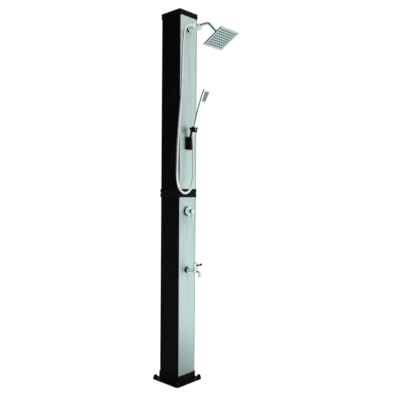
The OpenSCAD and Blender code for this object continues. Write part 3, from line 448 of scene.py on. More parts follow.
def satin_front(name, colour):
    """Satin anodised aluminium: upright brushing, handling marks and faint water runs."""
    finish = Finish(name, Metallic=1.0)
    brush = finish.noise(1, 6.0, (2600, 2600, 22))
    streak = finish.noise(1, 4.0, (260, 260, 3.5))
    cloud = finish.noise(5, 3.0, (1, 1, 0.6))
    run = finish.marks(1, 0.56, 0.72, (150, 150, 2.2))
    tone = finish.mix(cloud, shade(colour, 0.93), shade(colour, 1.06))
    tone = finish.mix(0.35 * streak, tone, shade(colour, 0.86))
    return finish.done(finish.mix(0.12 * run, tone, shade(colour, 1.15)),
                       0.34 + 0.16 * brush + 0.05 * cloud + 0.05 * run,
                       brush + 0.3 * streak, 0.00004, 0.6)


def plated(name, colour, gloss):
    """Bright chrome: fingermarks, dried drops and hair scratches."""
    finish = Finish(name, Metallic=1.0)
    smear = finish.marks(70, 0.45, 0.75)
    drops = finish.marks(420, 0.6, 0.68, detail=2.0)
    hair = finish.marks(1, 0.6, 0.66, (900, 120, 2400), 3.0)
    return finish.done(finish.mix(0.35 * drops, shade(colour, 1.0), shade(colour, 0.86)),
                       gloss + 0.05 * smear + 0.12 * drops + 0.04 * hair,
                       0.5 * drops + 0.3 * hair + 0.15 * finish.noise(60, 2.0), 0.00002, 0.5)


def brushed_plate(name, colour):
    """Brushed stainless steel of the spray face and the screws."""
    finish = Finish(name, Metallic=1.0)
    brush = finish.noise(1, 5.0, (40, 2400, 2400))
    scale = finish.marks(210, 0.55, 0.72)
    return finish.done(finish.mix(0.3 * scale, shade(colour, 1.0), shade(colour, 1.3)),
                       0.22 + 0.14 * brush + 0.1 * scale,
                       brush + 0.4 * scale, 0.00003, 0.5)


def raw_metal(name, colour, dark, gloss):
    """Brass or copper as it comes from the tools, tarnished in patches."""
    finish = Finish(name, Metallic=1.0)
    tarnish = finish.marks(60, 0.42, 0.68)
    tool = finish.noise(1, 3.0, (300, 300, 2600))
    return finish.done(finish.mix(0.7 * tarnish, colour, dark),
                       gloss + 0.18 * tarnish + 0.08 * tool,
                       tool + 0.5 * tarnish, 0.00004, 0.5)


def rubbery(name, colour, gloss):
    """Rubber: a dull bloom over a fine moulded grain."""
    finish = Finish(name, Metallic=0.0, Specular_IOR_Level=0.15)
    bloom = finish.marks(130, 0.45, 0.75)
    return finish.done(finish.mix(0.6 * bloom, shade(colour, 1.0), shade(colour, 1.8)),
                       gloss + 0.12 * bloom,
                       finish.noise(2200, 2.0), 0.00004, 0.5)


def glossy_black(name, colour):
    """Polished black plastic with fine swirl marks and dust."""
    finish = Finish(name, Metallic=0.0, Coat_Weight=0.5, Coat_Roughness=0.08)
    dust = finish.marks(300, 0.62, 0.7)
    swirl = finish.marks(1, 0.56, 0.62, (700, 260, 1100), 3.0)
    return finish.done(finish.mix(0.5 * dust, shade(colour, 1.0), shade(colour, 4.0)),
                       0.22 + 0.14 * dust + 0.06 * swirl,
                       0.4 * swirl + finish.noise(90, 2.0), 0.00003, 0.4)


def clear_tube(name, colour):
    """Smooth hose: silvery sheath with the winding of its core just showing through."""
    finish = Finish(name, Metallic=0.9, Coat_Weight=0.2, Coat_Roughness=0.1)
    cloud = finish.noise(35, 3.0)
    spots = finish.marks(260, 0.6, 0.72)
    along = finish.node("ShaderNodeAttribute", {"attribute_name": "winding"}, out="Fac")
    wave = finish.node("ShaderNodeMath", {"operation": "SINE"}, {0: along})
    tone = finish.mix(cloud, shade(colour, 0.93), shade(colour, 1.07))
    tone = finish.mix(0.5 + 0.5 * wave, tone, shade(colour, 0.94))
    return finish.done(finish.mix(0.25 * spots, tone, shade(colour, 0.75)),
                       0.14 + 0.06 * cloud + 0.1 * spots,
                       0.5 * wave + 0.2 * finish.noise(900, 2.0), 0.00008, 0.4)


def plain_plastic(name, colour, gloss):
    """Moulded plastic in a pale colour, with a fine grain and a few scuffs."""
    finish = Finish(name, Metallic=0.0)
    scuff = finish.marks(180, 0.58, 0.7, (1, 0.4, 1))
    cloud = finish.noise(40, 3.0)
    tone = finish.mix(cloud, shade(colour, 0.92), shade(colour, 1.08))
    return finish.done(finish.mix(0.3 * scuff, tone, shade(colour, 0.7)),
                       gloss + 0.12 * scuff + 0.05 * cloud,
                       finish.noise(1300, 2.0), 0.00005, 0.5)


FINISHES = {}


def finish_of(slot):
    """The finish of one of the record's material slots, made once."""
    if slot not in FINISHES:
        casing = bpy.context.scene.post_casing
        metal = bpy.context.scene.post_metal
        hose = bpy.context.scene.post_hose
        recipes = {
            "base": (moulded_black, "base_black", casing.black, 0.4, 0.00005),
            "casing": (moulded_black, "casing_black", casing.black, 0.44, 0.00004),
            "collar": (moulded_black, "band_black", shade(casing.black, 1.5), 0.38, 0.00003),
            "front": (satin_front, "front_aluminium", casing.front),
            "fittings": (plated, "bright_chrome", metal.chrome, metal.gloss),
            # The handset's chrome is the fittings' chrome painted 1.15 times lighter: painted light, a lit copy of the
            # same chrome.
            "chromed": (plated, "chromed_plastic", shade(metal.chrome, 1.15), metal.gloss + 0.03),
            "plate": (brushed_plate, "spray_steel", metal.steel),
            "castings": (raw_metal, "cast_brass", (0.6, 0.44, 0.2, 1), (0.28, 0.19, 0.09, 1), 0.34),
            "pipes": (raw_metal, "copper_pipe", (0.75, 0.42, 0.28, 1), (0.36, 0.17, 0.1, 1), 0.24),
            "screws": (brushed_plate, "screw_steel", (0.5, 0.51, 0.52)),
            "seal": (rubbery, "seal_rubber", (0.012, 0.012, 0.012), 0.6),
            "nozzles": (rubbery, "nozzle_rubber", (0.012, 0.018, 0.017), 0.5),
            "tube": (clear_tube, "hose_sheath", hose.colour),
            "black_trim": (moulded_black, "holder_black", casing.black, 0.3, 0.00003),
            "gloss_black": (glossy_black, "lever_black", casing.black),
            "cartridge": (plain_plastic, "cartridge_white", (0.78, 0.76, 0.7), 0.35),
            "handset_grey": (plain_plastic, "handset_face_grey", (0.17, 0.235, 0.215), 0.4),
        }
        make, *settings = recipes[slot]
        FINISHES[slot] = make(*settings)
    return FINISHES[slot]


# Column, fronts and their rings

CORNER, RING_FIT, RING_THICK = 8.0, 0.2, 4.7
ANCHORS = [(x, y) for x in (-91, 91) for y in (-94, 94)]
SCREW_X = 45


def ring_round_column(grow, height):
    """The outline round the column; on the inside it steps out round the front panel."""
    x, y = COLUMN.x / 2 - CORNER, COLUMN.y / 2 - CORNER
    half = PANEL_W / 2 + RING_FIT
    step = math.degrees(math.asin((half - x) / (CORNER + RING_FIT)))
    corners = (((1, 1), (0, 20, 40, 65, 90)), ((-1, 1), (90, 115, 140, 160, 180)),
               ((-1, -1), (180, 205, 230, 270 - step, 270)), ((1, -1), (270, 270 + step, 310, 335, 360)))
    ring = []
    for (sx, sy), angles in corners:
        for angle in angles:
            turn = math.radians(angle)
            point = (sx * x + (CORNER + grow) * math.cos(turn), sy * y + (CORNER + grow) * math.sin(turn), height)
            if angle == 270 and grow <= RING_FIT:
                point = (sx * half, FRONT - RING_FIT, height)
            ring.append(point)
    return ring


def band(name, outline, soft):
    """A ring round the column, from an outline of (grow, height) that starts and ends on its inside."""
    return Form(name).skin([ring_round_column(grow, height) for grow, height in eased(outline, soft)], closed=True)


def arc_points(x, y, radius, start, end, steps=10):
    return [(x + radius * math.cos(math.radians(start + (end - start) * k / steps)),
             y + radius * math.sin(math.radians(start + (end - start) * k / steps))) for k in range(steps + 1)]


def hole_cutter(z, radius):
    return Form("hole", front_at(z)).turn([(radius, -8), (radius, 8)]).solid()


def key_screw(form, place, radius, height, key=1.9):
    """A domed screw head with a six-sided socket."""
    rim = eased([(radius, 0), (radius, height * 0.3), (radius * 0.72, height * 0.9), (key * 1.3, height)], 0.8)

    def socket(depth):
        return [(hexagon(key, a) * math.cos(a), hexagon(key, a) * math.sin(a), depth)
                for a in (TURN * k / 24 for k in range(24))]
    form.skin([circle(r, z, 24) for r, z in rim] + [socket(height), socket(height * 0.35)], place)


class POST_OT_casing(bpy.types.Operator):
    """Builds the base plate, its socket and bolt caps, the bands at the joint, the top cap and the rear screws"""
    bl_idname = "post.casing"
    bl_label = "Casing"

    def execute(self, context):
        soft = context.scene.post_casing.edge / MM
        low, high = span("base_foot")
        plate = Form("base_plate").block(high.x - low.x, high.y - low.y, 15, eased(
            [(-1.0, 0), (0, 1.0), (0, 4.2), (-0.6, 5.4), (-2.2, 6)], 0.8), steps=10)
        bolts = [Form("bolt_hole", moved(x, y, 0)).turn([(5, -4), (5, 10)], count=32).solid() for x, y in ANCHORS]
        plate.piece("base_foot", after=lambda o: worked(o, bolts))
        band("base_socket", [(RING_FIT, 5.5), (8.4, 5.5), (8.2, 6.6), (5.6, 8.2), (RING_THICK, 12), (RING_THICK, 51),
                             (RING_FIT, 51)], soft).piece("base_foot")

        caps = Form("bolt_caps")
        low, high = span("anchor_caps")
        foot, height = high.x - ANCHORS[-1][0], high.z - low.z
        outline = eased([(foot, 0), (foot, 2.2), (foot - 0.8, 3.0), (foot * 0.82, height * 0.62),
                         (foot * 0.56, height * 0.94), (foot * 0.3, height), (0, height)], 1.0, 4)
        for x, y in ANCHORS:
            caps.turn(outline, moved(x, y, 6), count=48)
        caps.piece("anchor_caps", finish="black_trim")

        for node in ("lower_collar", "upper_collar"):
            low, high = span(node)
            band(node.replace("collar", "band"), [(RING_FIT, low.z), (RING_THICK, low.z), (RING_THICK, high.z),
                                                  (RING_FIT, high.z)], soft).piece(node)

        low, high = span("top_cap")
        edge = eased([(0, low.z + 5), (0, high.z), (-9, high.z)], soft * 1.2, 4)[1:]
        groove = [(-2.5, 0), (-0.5, 0), (0, 0.5), (0, 3), (-0.5, 3.4), (-0.5, 4.2), (0, 4.6)]
        Form("cap").block(high.x - low.x, high.y - low.y, 8.2, [(-2.5, high.z - 3)] + [
            (grow, low.z + up) for grow, up in groove] + edge, steps=8).piece("top_cap", slot="casing")

        screws = Form("rear_screws")
        rows = [(COLUMN_BACK + RING_FIT + 4.5, z) for z in (30, middle("lower_collar", 2), middle("upper_collar", 2))]
        rows.append((COLUMN_BACK + RING_FIT + 2.5, TOP - 17))
        for y, z in rows:
            for x in (-SCREW_X, SCREW_X):
                key_screw(screws, moved(x, y, z) @ turned_about("X", -90), 4.5, 3)
        screws.piece("casing_screws")
        return {"FINISHED"}


class POST_OT_fronts(bpy.types.Operator):
    """Builds the two folded aluminium fronts with their holes for the fittings"""
    bl_idname = "post.fronts"
    bl_label = "Aluminium fronts"

    def execute(self, context):
        half, edge, sheet = PANEL_W / 2, 6.0, 2.0
        x, y, back = half - edge, FRONT + edge, FRONT + 12
        outline = ([(-half, back)] + arc_points(-x, y, edge, 180, 270) + arc_points(x, y, edge, 270, 360)
                   + [(half, back), (half - sheet, back)] + arc_points(x, y, edge - sheet, 360, 270)
                   + arc_points(-x, y, edge - sheet, 270, 180) + [(-half + sheet, back)])
        holes = {"lower_front_panel": [(TAP_Z, 11.3), (MIXER_Z, 20.7)], "upper_front_panel": [(DIVERTER_Z, 11.3)]}
        for node, cuts in holes.items():
            low, high = span(node)
            form = Form(node.replace("panel", "sheet")).skin([[(*p, z) for p in outline] for z in (low.z, high.z)])
            tools = [hole_cutter(z, radius) for z, radius in cuts]
            form.piece(node, sharp=28,
                       after=lambda o, t=tools: worked(o, t, bevel=0.35, angle=60))
        return {"FINISHED"}


# Diverter, arm and head

def wall_plate(name, node, z, radius, dark_reflection_ring, rise, hole, face):
    """A chromed wall plate on a black ring; the black ring is painted dark reflection, standing in for the dark rim
    that the chrome shows.
    """
    rim = radius + 0.1
    # The black ring from the plate's foot up to the given height is painted dark reflection round the chrome rim.
    Form(name + "_seat", front_at(z)).hoop([(hole, 0), (radius, 0), (radius, dark_reflection_ring), (hole, dark_reflection_ring)], 0.5,
                                           count=96).piece(node, slot="black_trim")
    Form(name + "_plate", front_at(z)).hoop([(hole, dark_reflection_ring), (rim, dark_reflection_ring), (rim, dark_reflection_ring + 0.8), (face, rise), (hole, rise)],
                                            0.7, 4, count=96).piece(node)


class POST_OT_diverter(bpy.types.Operator):
    """Builds the diverter: wall plate, nuts, body with its cross branches, and the fluted knob"""
    bl_idname = "post.diverter"
    bl_label = "Diverter"

    def execute(self, context):
        front = front_at(DIVERTER_Z)
        cross = moved(0, 0, CROSS_OUT) @ ALONG_X
        wall_plate("diverter", "diverter_rosette", DIVERTER_Z, -span("diverter_rosette")[0].x - 0.1, 7, 8, 10.6, 15)
        Form("inlet_nut_front", front).nut(27, 8, 17, 10.6, lip=0.7).piece("inlet_lock_nut", sharp=25)
        body = Form("diverter_valve", front)
        body.turn(eased([(10.4, -18), (10.4, 17.2), (12.2, 17.2), (13, 18.4), (13, 22.6), (12.2, 23.2), (12.2, 24.2),
                         (13, 24.8), (13, 40)], 0.35) + eased([(13, 41), (13, 70.6), (12.2, 71.2), (12.2, 72.2),
                         (13, 72.8), (13, 77), (12.2, 78), (10.4, 78), (10.4, 87)], 0.35), count=72)
        body.turn(eased([(10.4, -24.9), (10.4, -15.6), (11.4, -15), (12, -14.2), (12, -11.6), (11.4, -11),
                         (11.4, -10.2), (12, -9.6), (12, 14.2), (11.4, 14.8), (11.4, 15.6), (12, 16.2),
                         (12, 19.2), (11.2, 20), (4.1, 20)], 0.3), cross, count=72)
        body.piece("diverter_body")
        knob = Form("diverter_turner", front @ cross)

        def flutes(angle, height):
            reach = min(max(min(height - 22.6, 37.4 - height) / 1.2, 0), 1)
            return -2.3 * reach * max(math.cos(10 * angle), 0) ** 1.4
        heights = [22.6, 22.9, 23.3, 23.8, 25, 30, 35, 36.2, 36.7, 37.1, 37.4]
        knob.turn([(0, 12), (3.9, 12), (3.9, 20.3), (13.6, 20.3), (14.6, 20.7), (15, 21.6)] + [(15, h) for h in heights]
                  + [(15, 38.6), (14.6, 39.4), (13.6, 39.9), (9.4, 39.9), (8.8, 39.3), (8.2, 38.9), (0, 38.7)],
                  count=160, wave=lambda angle, h: flutes(angle, h) if 22.5 < h < 37.5 else 0)
        knob.piece("diverter_knob", sharp=40)
        Form("arm_union", front).nut(27, 78.1, 89.6, 9.2, lip=0.8).hoop(
            [(9.1, 89), (12.6, 89), (12.2, 91), (10.6, 93), (9.1, 93)], 0.5).piece("arm_nut", sharp=25)
        return {"FINISHED"}


ARM_RADIUS, ARM_ANGLE = 45, math.radians(46)
ARM_TAIL = (DIVERTER_Z - BALL.z - ARM_RADIUS * (1 - math.cos(ARM_ANGLE))) / math.sin(ARM_ANGLE)
ARM_START = BALL.y + ARM_TAIL * math.cos(ARM_ANGLE) + ARM_RADIUS * math.sin(ARM_ANGLE)


class POST_OT_arm(bpy.types.Operator):
    """Builds the bent shower arm and its swivel ball"""
    bl_idname = "post.arm"
    bl_label = "Shower arm"

    def execute(self, context):
        path = [Vector((0, FRONT - 76, DIVERTER_Z)), Vector((0, FRONT - 100, DIVERTER_Z))]
        for k in range(25):
            t = ARM_ANGLE * k / 24
            path.append(Vector((0, ARM_START - ARM_RADIUS * math.sin(t), DIVERTER_Z - ARM_RADIUS * (1 - math.cos(t)))))
        away = Vector((0, -math.cos(ARM_ANGLE), -math.sin(ARM_ANGLE)))
        foot = path[-1]
        path += [foot + away * 30, foot + away * (ARM_TAIL - 16)]
        Form("bent_arm").sweep(path, 9.0, 56).piece("shower_arm")
        tail = Matrix.Translation(foot) @ Matrix.Rotation(math.pi / 2 + ARM_ANGLE, 4, "X")
        dome = [(10 * math.sin(t), ARM_TAIL - 10 * math.cos(t)) for t in
                [0.4668 + (math.pi - 0.4668) * k / 20 for k in range(20)]]
        nut = [(9.1, -27), (11.7, -27), (12.5, -26.2), (12.5, -23.4), (11.9, -22.9), (11.9, -22), (12.5, -21.5),
               (12.5, -13.4), (11.4, -11.6), (8, -11), (4.5, -10.8), (4.5, -9.4)]
        Form("swivel_ball", tail).turn(eased([(r, ARM_TAIL + h) for r, h in nut], 0.5) + dome + [(0, ARM_TAIL + 10)],
                                       count=72).piece("arm_ball")
        return {"FINISHED"}


HEAD_BACK, HEAD_FACE, HEAD_SIDE = -26.0, -34.0, 150.0


def square_ring(side, height, count=32):
    """Points on a square's edge, at the angles that a circle's points have."""
    ring = []
    for k in range(count):
        c, s = math.cos(TURN * k / count), math.sin(TURN * k / count)
        reach = side / 2 / max(abs(c), abs(s))
        ring.append((reach * c, reach * s, height))
    return ring


class POST_OT_head(bpy.types.Operator):
    """Builds the square head: collar, shell, spray plate with its dimples, and rubber nozzles"""
    bl_idname = "post.head"
    bl_label = "Shower head"

    def execute(self, context):
        collar = Form("ball_collar", AT_HEAD)
        inner = [(10.3, 0.5)] + [(10.3 * math.cos(t), 10.3 * math.sin(t)) for t in (0.2, 0.4, 0.62)]
        collar.turn([(13.1, -4), (13.1, -13)] + eased([(13.1, -13), (16, -13), (16, 1.5), (11, 6.5), (8.4, 6)], 0.8)[1:]
                    + inner[::-1] + [(10.3, -4)], closed=True, count=240,
                    wave=lambda angle, h: -0.3 * (0.5 - 0.5 * math.cos(60 * angle)) if -11.9 < h < 1.2 else 0)
        collar.piece("head_collar", sharp=50)

        shell = Form("head_back", AT_HEAD)
        shell.block(HEAD_SIDE, HEAD_SIDE, 4, [(-1.6, HEAD_FACE + 1.8), (-1.6, HEAD_FACE + 0.5)]
                    + eased([(-1.4, HEAD_FACE + 0.3), (0, HEAD_FACE + 0.3), (0, HEAD_BACK), (-5, HEAD_BACK)], 0.6, 4),
                    steps=8)
        shell.turn([(24, HEAD_BACK - 0.3), (22, HEAD_BACK + 0.3), (19.4, -24.6), (17, -22), (15.2, -18.6), (14.2, -16),
                    (13.6, -14.2), (12.9, -13.5), (12.9, -4.4), (9, -4.4)], count=72)
        shell.piece("head_shell")

        pitch, count = 16, 8
        rows = [pitch * (i - (count - 1) / 2) for i in range(count)]
        spots = [(x, y) for x in rows for y in rows]
        plate = Form("spray_face", AT_HEAD)
        for x, y in spots:
            plate.skin([square_ring(pitch, HEAD_FACE)] + [circle(r, z, 32) for r, z in
                       ((6.6, HEAD_FACE), (6.3, HEAD_FACE + 0.1), (5.6, HEAD_FACE + 0.5), (5.2, HEAD_FACE + 0.6),
                        (5.1, HEAD_FACE + 1.6))], moved(x, y, 0), ends=(False, False))
        border = ((pitch * count, 0.3, 0), (146.2, 3, 0), (146.6, 3, 0.3), (146.6, 3, 1.6))
        plate.skin([plan(side, side, radius, 0, HEAD_FACE + up) for side, radius, up in border], ends=(False, False))
        plate.piece("spray_plate")

        mat = Form("rubber_nozzles", AT_HEAD)
        for x, y in spots:
            mat.turn([(5.0, HEAD_FACE + 1.6), (5.0, HEAD_FACE + 0.6), (4.7, HEAD_FACE + 0.3), (2.3, HEAD_FACE + 0.2),
                      (2.1, HEAD_FACE - 0.1), (1.7, HEAD_FACE - 0.5),
                      (1.45, HEAD_FACE - 1.3), (1.2, HEAD_FACE - 1.6), (0.7, HEAD_FACE - 1.6), (0.6, HEAD_FACE - 0.2)],
                     moved(x, y, 0), count=16)
        mat.piece("nozzle_mat")
        return {"FINISHED"}


# Hose, from nut to nut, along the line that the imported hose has

HUNG = ((-48, -136, 2096), (-62, -136, 2090), (-74, -136, 2081), (-83, -136, 2069), (-90, -136, 2053),
        (-95, -136, 2034), (-99, -136, 2005), (-103, -136, 1955), (-106, -135, 1880), (-108, -135, 1770),
        (-116, -135, 1655), (-128, -135, 1540), (-137, -134, 1430), (-142, -134, 1330), (-142, -133, 1260),
        (-138, -132, 1208), (-127, -131, 1168), (-108, -130, 1141), (-85, -129, 1129), (-61, -128, 1129),
        (-39, -127, 1139), (-21, -126, 1159), (-9, -125, 1190), (-3, -125, 1230), (-1, -125, 1290),
        (-1, -124, 1360), (-1, -121, 1420), (0, -117, 1450))
NUT_END, NUT_FOOT = -34.05, -13.05


def hose_line(diameter):
    """Points and ways along the hose, with the number of the stretch that each lies in."""
    finish = CLIP + HAND_UP * NUT_FOOT
    route = [Vector((NUT_END, FRONT - CROSS_OUT, DIVERTER_Z))] + [Vector(p) for p in HUNG]
    route += [finish - HAND_UP * diameter, finish]
    ways = [Vector((-1, 0, 0))] + [(route[i + 1] - route[i - 1]).normalized() for i in range(1, len(route) - 1)]
    ways.append(HAND_UP)
    places = []
    for i in range(len(route) - 1):
        a, b = route[i], route[i + 1]
        reach = (b - a).length
        p, q = a + ways[i] * reach / 3, b - ways[i + 1] * reach / 3
        steps = max(4, round(reach / 4.5))
        steps += steps % 2
        for k in range(steps + (i == len(route) - 2)):
            t = k / steps
            u = 1 - t
            point = u ** 3 * a + 3 * u * u * t * p + 3 * u * t * t * q + t ** 3 * b
            way = (u * u * (p - a) + 2 * u * t * (q - p) + t * t * (b - q)).normalized()
            places.append((i + t, point, way))
    return places


def hose_stretch(name, places, diameter, start):
    """One stretch of the hose as a smooth tube, with how far its winding has turned kept on each point."""
    count = 40
    pitch = bpy.context.scene.post_hose.pitch
    points, faces, winding = [], [], []
    along = start
    for i, (_, centre, way) in enumerate(places):
        if i:
            along += (centre - places[i - 1][1]).length
        points += [p * MM for p in section(centre, way, Vector((0, 1, 0)), diameter / 2, count)]
        winding += [TURN * along * MM / pitch] * count
    rows = len(places)
    for i in range(rows - 1):
        for k in range(count):
            m = (k + 1) % count
            faces.append((i * count + k, (i + 1) * count + k, (i + 1) * count + m, i * count + m))
    faces.append(tuple(range(count)))
    faces.append(tuple((rows - 1) * count + k for k in reversed(range(count))))
    data = bpy.data.meshes.new(name)
    data.from_pydata(points, [], faces)
    kept = data.attributes.new("winding", "FLOAT", "POINT")
    kept.data.foreach_set("value", winding)
    data.shade_smooth()
    data.set_sharp_from_angle(angle=math.radians(50))
    data.materials.append(finish_of("tube"))
    made = bpy.data.objects.new(name, data)
    bpy.context.scene.collection.objects.link(made)
    return made, along


class POST_OT_hose(bpy.types.Operator):
    """Builds the hose's two nuts and the hose in three stretches, of which only the first hangs on the post"""
    bl_idname = "post.hose"
    bl_label = "Hose"

    def execute(self, context):
        diameter = context.scene.post_hose.diameter / MM
        front = front_at(DIVERTER_Z) @ moved(0, 0, CROSS_OUT) @ ALONG_X
        upper = Form("hose_union_upper", front).nut(24, -27, -15.05, 7, lip=0.7).hoop(
            [(6.4, -34), (8, -34), (8.6, -32.4), (11, -27.6), (11.9, -26.6), (6.4, -26.6)], 0.5).piece(
            "hose_nut_upper", sharp=25)
        lower = Form("hose_union_lower", AT_HAND)

        def grips(angle, height):
            return -0.45 * max(math.cos(12 * angle), 0)
        lower.turn(eased([(6.2, -13), (8.2, -13), (9.4, -0.5)], 0.5)
                   + [(9.5, 0.2), (9.2, 0.5), (9.25, 1.1), (9.65, 1.4), (10.9, 16.8), (11, 18), (11, 20), (11, 20.4),
                      (11, 20.9), (11, 25), (11, 29.2), (11, 29.6), (11, 30.1), (10.4, 31), (7.9, 31), (7.9, 24)],
                   count=96, wave=lambda angle, h: grips(angle, h) if 20.6 < h < 29.4 else 0)
        lower = lower.piece("hose_nut_lower", sharp=40)

        places = hose_line(diameter)
        first = next(i for i, p in enumerate(places) if p[0] >= 25)
        second = next(i for i, p in enumerate(places) if p[0] >= 26.5)
        parts = (("hose_long", 0, first), ("hose_rise", first, second), ("hose_tip", second, len(places) - 1))
        turned = 0.0
        for name, a, b in parts:
            stretch = places[a:b + 1]
            line = [p[1] * MM for p in stretch]
            made, turned = hose_stretch(name, stretch, diameter, turned)
            long = sum((q - p).length for p, q in zip(line, line[1:]))
            if name == "hose_long":
                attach(made, "post")
                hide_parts("hose")
            elif name == "hose_rise":
                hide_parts("hose_end")
                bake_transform(made)
            else:
                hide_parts("hose_end")
                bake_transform(made)
        return {"FINISHED"}


# Holder and handset

def capsule(a, b, radius, x, steps=10):
    """The outline round two points in the plane of the post's depth and height."""
    angle = math.atan2(b[1] - a[1], b[0] - a[0])
    ring = []
    for centre, start in ((b, angle - math.pi / 2), (a, angle + math.pi / 2)):
        for k in range(steps + 1):
            t = start + math.pi * k / steps
            ring.append((x, centre[0] + radius * math.cos(t), centre[1] + radius * math.sin(t)))
    return ring


def slot_cutter(width, low, high, back, front, place):
    corners = ((-width / 2, low), (width / 2, low), (width / 2, high), (-width / 2, high))
    return Form("slot", place).skin([[(x, y, z) for x, y in corners] for z in (back, front)]).solid()


def clip_bore(height):
    return 0.3 + 8.2 + 2.8 * min(max((height + 13) / 31, 0), 1)


class POST_OT_holder(bpy.types.Operator):
    """Builds the wall bracket, its pin and screws, and the tilting holder with its clip"""
    bl_idname = "post.holder"
    bl_label = "Handset holder"

    def execute(self, context):
        front = front_at(BRACKET_Z)
        at_pin = Matrix.Translation(PIVOT) @ ALONG_X
        Form("bracket_plate", front).block(49, 76, 6, eased(
            [(-1, 0), (0, 0), (0, 9.4), (-1.6, 11), (-3, 11)], 1.2, 4), steps=8).piece(
            "bracket_base", after=lambda o: worked(
                o, [slot_cutter(10.6, 19.7, 32, 6, 12, front)], bevel=0.3))
        Form("bracket_boss", front @ moved(0, 5, 0)).block(28, 66, 3, eased(
            [(1.2, 10.4), (0.2, 11.6), (0, 19.6), (-1.2, 21), (-3, 21)], 0.8)).piece(
            "bracket_base", after=lambda o: worked(
                o, [slot_cutter(10.6, 19.7, 44, 5, 24, front)], bevel=0.5))
        Form("holder_pin", at_pin).turn(eased([(0, -14), (2.5, -14), (2.5, 14), (0, 14)], 0.5),
                                        count=32).piece("tilt_pin")
        screws = Form("bracket_fixings", front)
        for x in (-19, 19):
            key_screw(screws, moved(x, 0, 9.6), 3.0, 1.3, 1.2)
        screws.piece("bracket_screws")

        arm = Form("tilting_clip")
        knuckle = (-109, BRACKET_Z + 84)
        pivot = (PIVOT.y, PIVOT.z)
        arm.hoop([(2.6, -5), (7, -5), (7, 5), (2.6, 5)], 0.7, place=at_pin)
        arm.skin([capsule(pivot, knuckle, 4 + grow, x) for grow, x in
                  ((-0.8, -5), (-0.2, -4.8), (0, -4.2), (0, 4.2), (-0.2, 4.8), (-0.8, 5))])
        arm.turn(eased([(0, -12), (9, -12), (9, -7), (8.3, -6.4), (8.3, 6.4), (9, 7), (9, 12), (0, 12)], 0.8),
                 moved(0, *knuckle) @ ALONG_X, count=48)
        sections = eased([(clip_bore(-7), -7), (18, -7), (18, 23), (clip_bore(23), 23), (clip_bore(17), 17)], 1.2, 4,
                         closed=True)
        rings = []
        steps = 64
        for k in range(steps + 1):
            ring = []
            for r, z in sections:
                mouth = math.asin(7.5 / r)
                angle = -math.pi / 2 + mouth + (TURN - 2 * mouth) * k / steps
                ring.append((r * math.cos(angle), r * math.sin(angle), z))
            rings.append(ring)
        arm.skin(rings, AT_HAND)
        arm.piece("holder_arm",
                  after=lambda o: worked(o, bevel=0.4, angle=60))
        return {"FINISHED"}


HAND_W, HAND_T, HAND_LEN, HAND_FOOT = 46.0, 18.0, 218.0, 31.0
HAND_STRAIGHT, HAND_ARC, HAND_BEND = 55.0, 52.0, math.radians(10)
HAND_SECTIONS = ((0, 0.42, 0.79), (0.006, 0.445, 0.83), (0.02, 0.46, 0.86), (0.12, 0.475, 0.865), (0.25, 0.5, 0.87),
                 (0.42, 0.57, 0.9), (0.54, 0.68, 0.94), (0.66, 0.82, 0.98), (0.76, 0.92, 1), (0.86, 0.99, 1),
                 (0.95, 1, 1), (0.98, 0.99, 0.97), (0.993, 0.97, 0.93), (1, 0.93, 0.84))
FACE_LEN, FACE_END, FACE_WIDTHS = 60.0, 9.0, (28.4, 35.6)


def hand_middle(u):
    radius = HAND_ARC / HAND_BEND
    b = HAND_BEND * min(max((u - HAND_STRAIGHT) / HAND_ARC, 0), 1)
    rest = max(u - HAND_STRAIGHT - HAND_ARC, 0)
    return b, Vector((0, -radius * (1 - math.cos(b)) - rest * math.sin(b),
                      HAND_FOOT + min(u, HAND_STRAIGHT) + radius * math.sin(b) + rest * math.cos(b)))


def face_width(up):
    return FACE_WIDTHS[0] + (FACE_WIDTHS[1] - FACE_WIDTHS[0]) * up


def face_outline(grow, height, radius=4.0):
    """The spray face's outline, which narrows towards the handle."""
    ring = []
    for i, (sx, sy) in enumerate(((1, 1), (-1, 1), (-1, -1), (1, -1))):
        for k in range(7):
            angle = math.pi / 2 * (i + k / 6)
            y = sy * (FACE_LEN / 2 - radius) + (radius + grow) * math.sin(angle)
            half = face_width(0.5 + y / FACE_LEN) / 2 - radius
            ring.append((sx * half + (radius + grow) * math.cos(angle), y, height))
    return ring


class POST_OT_handset(bpy.types.Operator):
    """Builds the handset: chromed body, grey spray face and its jets"""
    bl_idname = "post.handset"
    bl_label = "Handset"

    def execute(self, context):
        body = Form("hand_shower", AT_HAND)
        stations = smooth_path([Vector(s) for s in HAND_SECTIONS], 3)
        rings = [circle(7.9, 24.5, 48), circle(7.9, HAND_FOOT, 48)]
        for share, wide, thick in stations:
            b, centre = hand_middle(share * HAND_LEN)
            rings.append([(x, centre.y + y * math.cos(b), centre.z + y * math.sin(b))
                          for x, y in squared(wide * HAND_W / 2, thick * HAND_T / 2, 0.5, 48)])
        body.skin(rings)
        b, centre = hand_middle(HAND_LEN - FACE_END - FACE_LEN / 2)
        at_face = AT_HAND @ Matrix.Translation(centre) @ Matrix.Rotation(math.pi / 2 + HAND_BEND, 4, "X") \
            @ moved(0, 0, HAND_T / 2)
        tool = Form("face_recess", at_face).skin([face_outline(0.2, z) for z in (-2.2, 6)]).solid()
        body.piece("handset_body", sharp=38,
                   after=lambda o: worked(o, [tool], bevel=0.25, angle=55))
        face = Form("hand_face", at_face)
        face.skin([face_outline(grow, z) for grow, z in eased([(0, -2.4), (0, -0.8), (-0.7, 0), (-2, 0)], 0.5, 3)])
        for i in range(4):
            for j in range(9):
                up = (j + 1) / 10
                x, y = face_width(up) * ((i + 1) / 5 - 0.5), FACE_LEN * (up - 0.5)
                face.turn([(1.25, -0.4), (1.25, 0.2), (1.0, 0.5), (0.85, 1.0), (0.45, 1.0), (0.4, 0.4)],
                          moved(x, y, 0), count=16)
        face.piece("handset_face")
        return {"FINISHED"}


# Mixer and foot tap

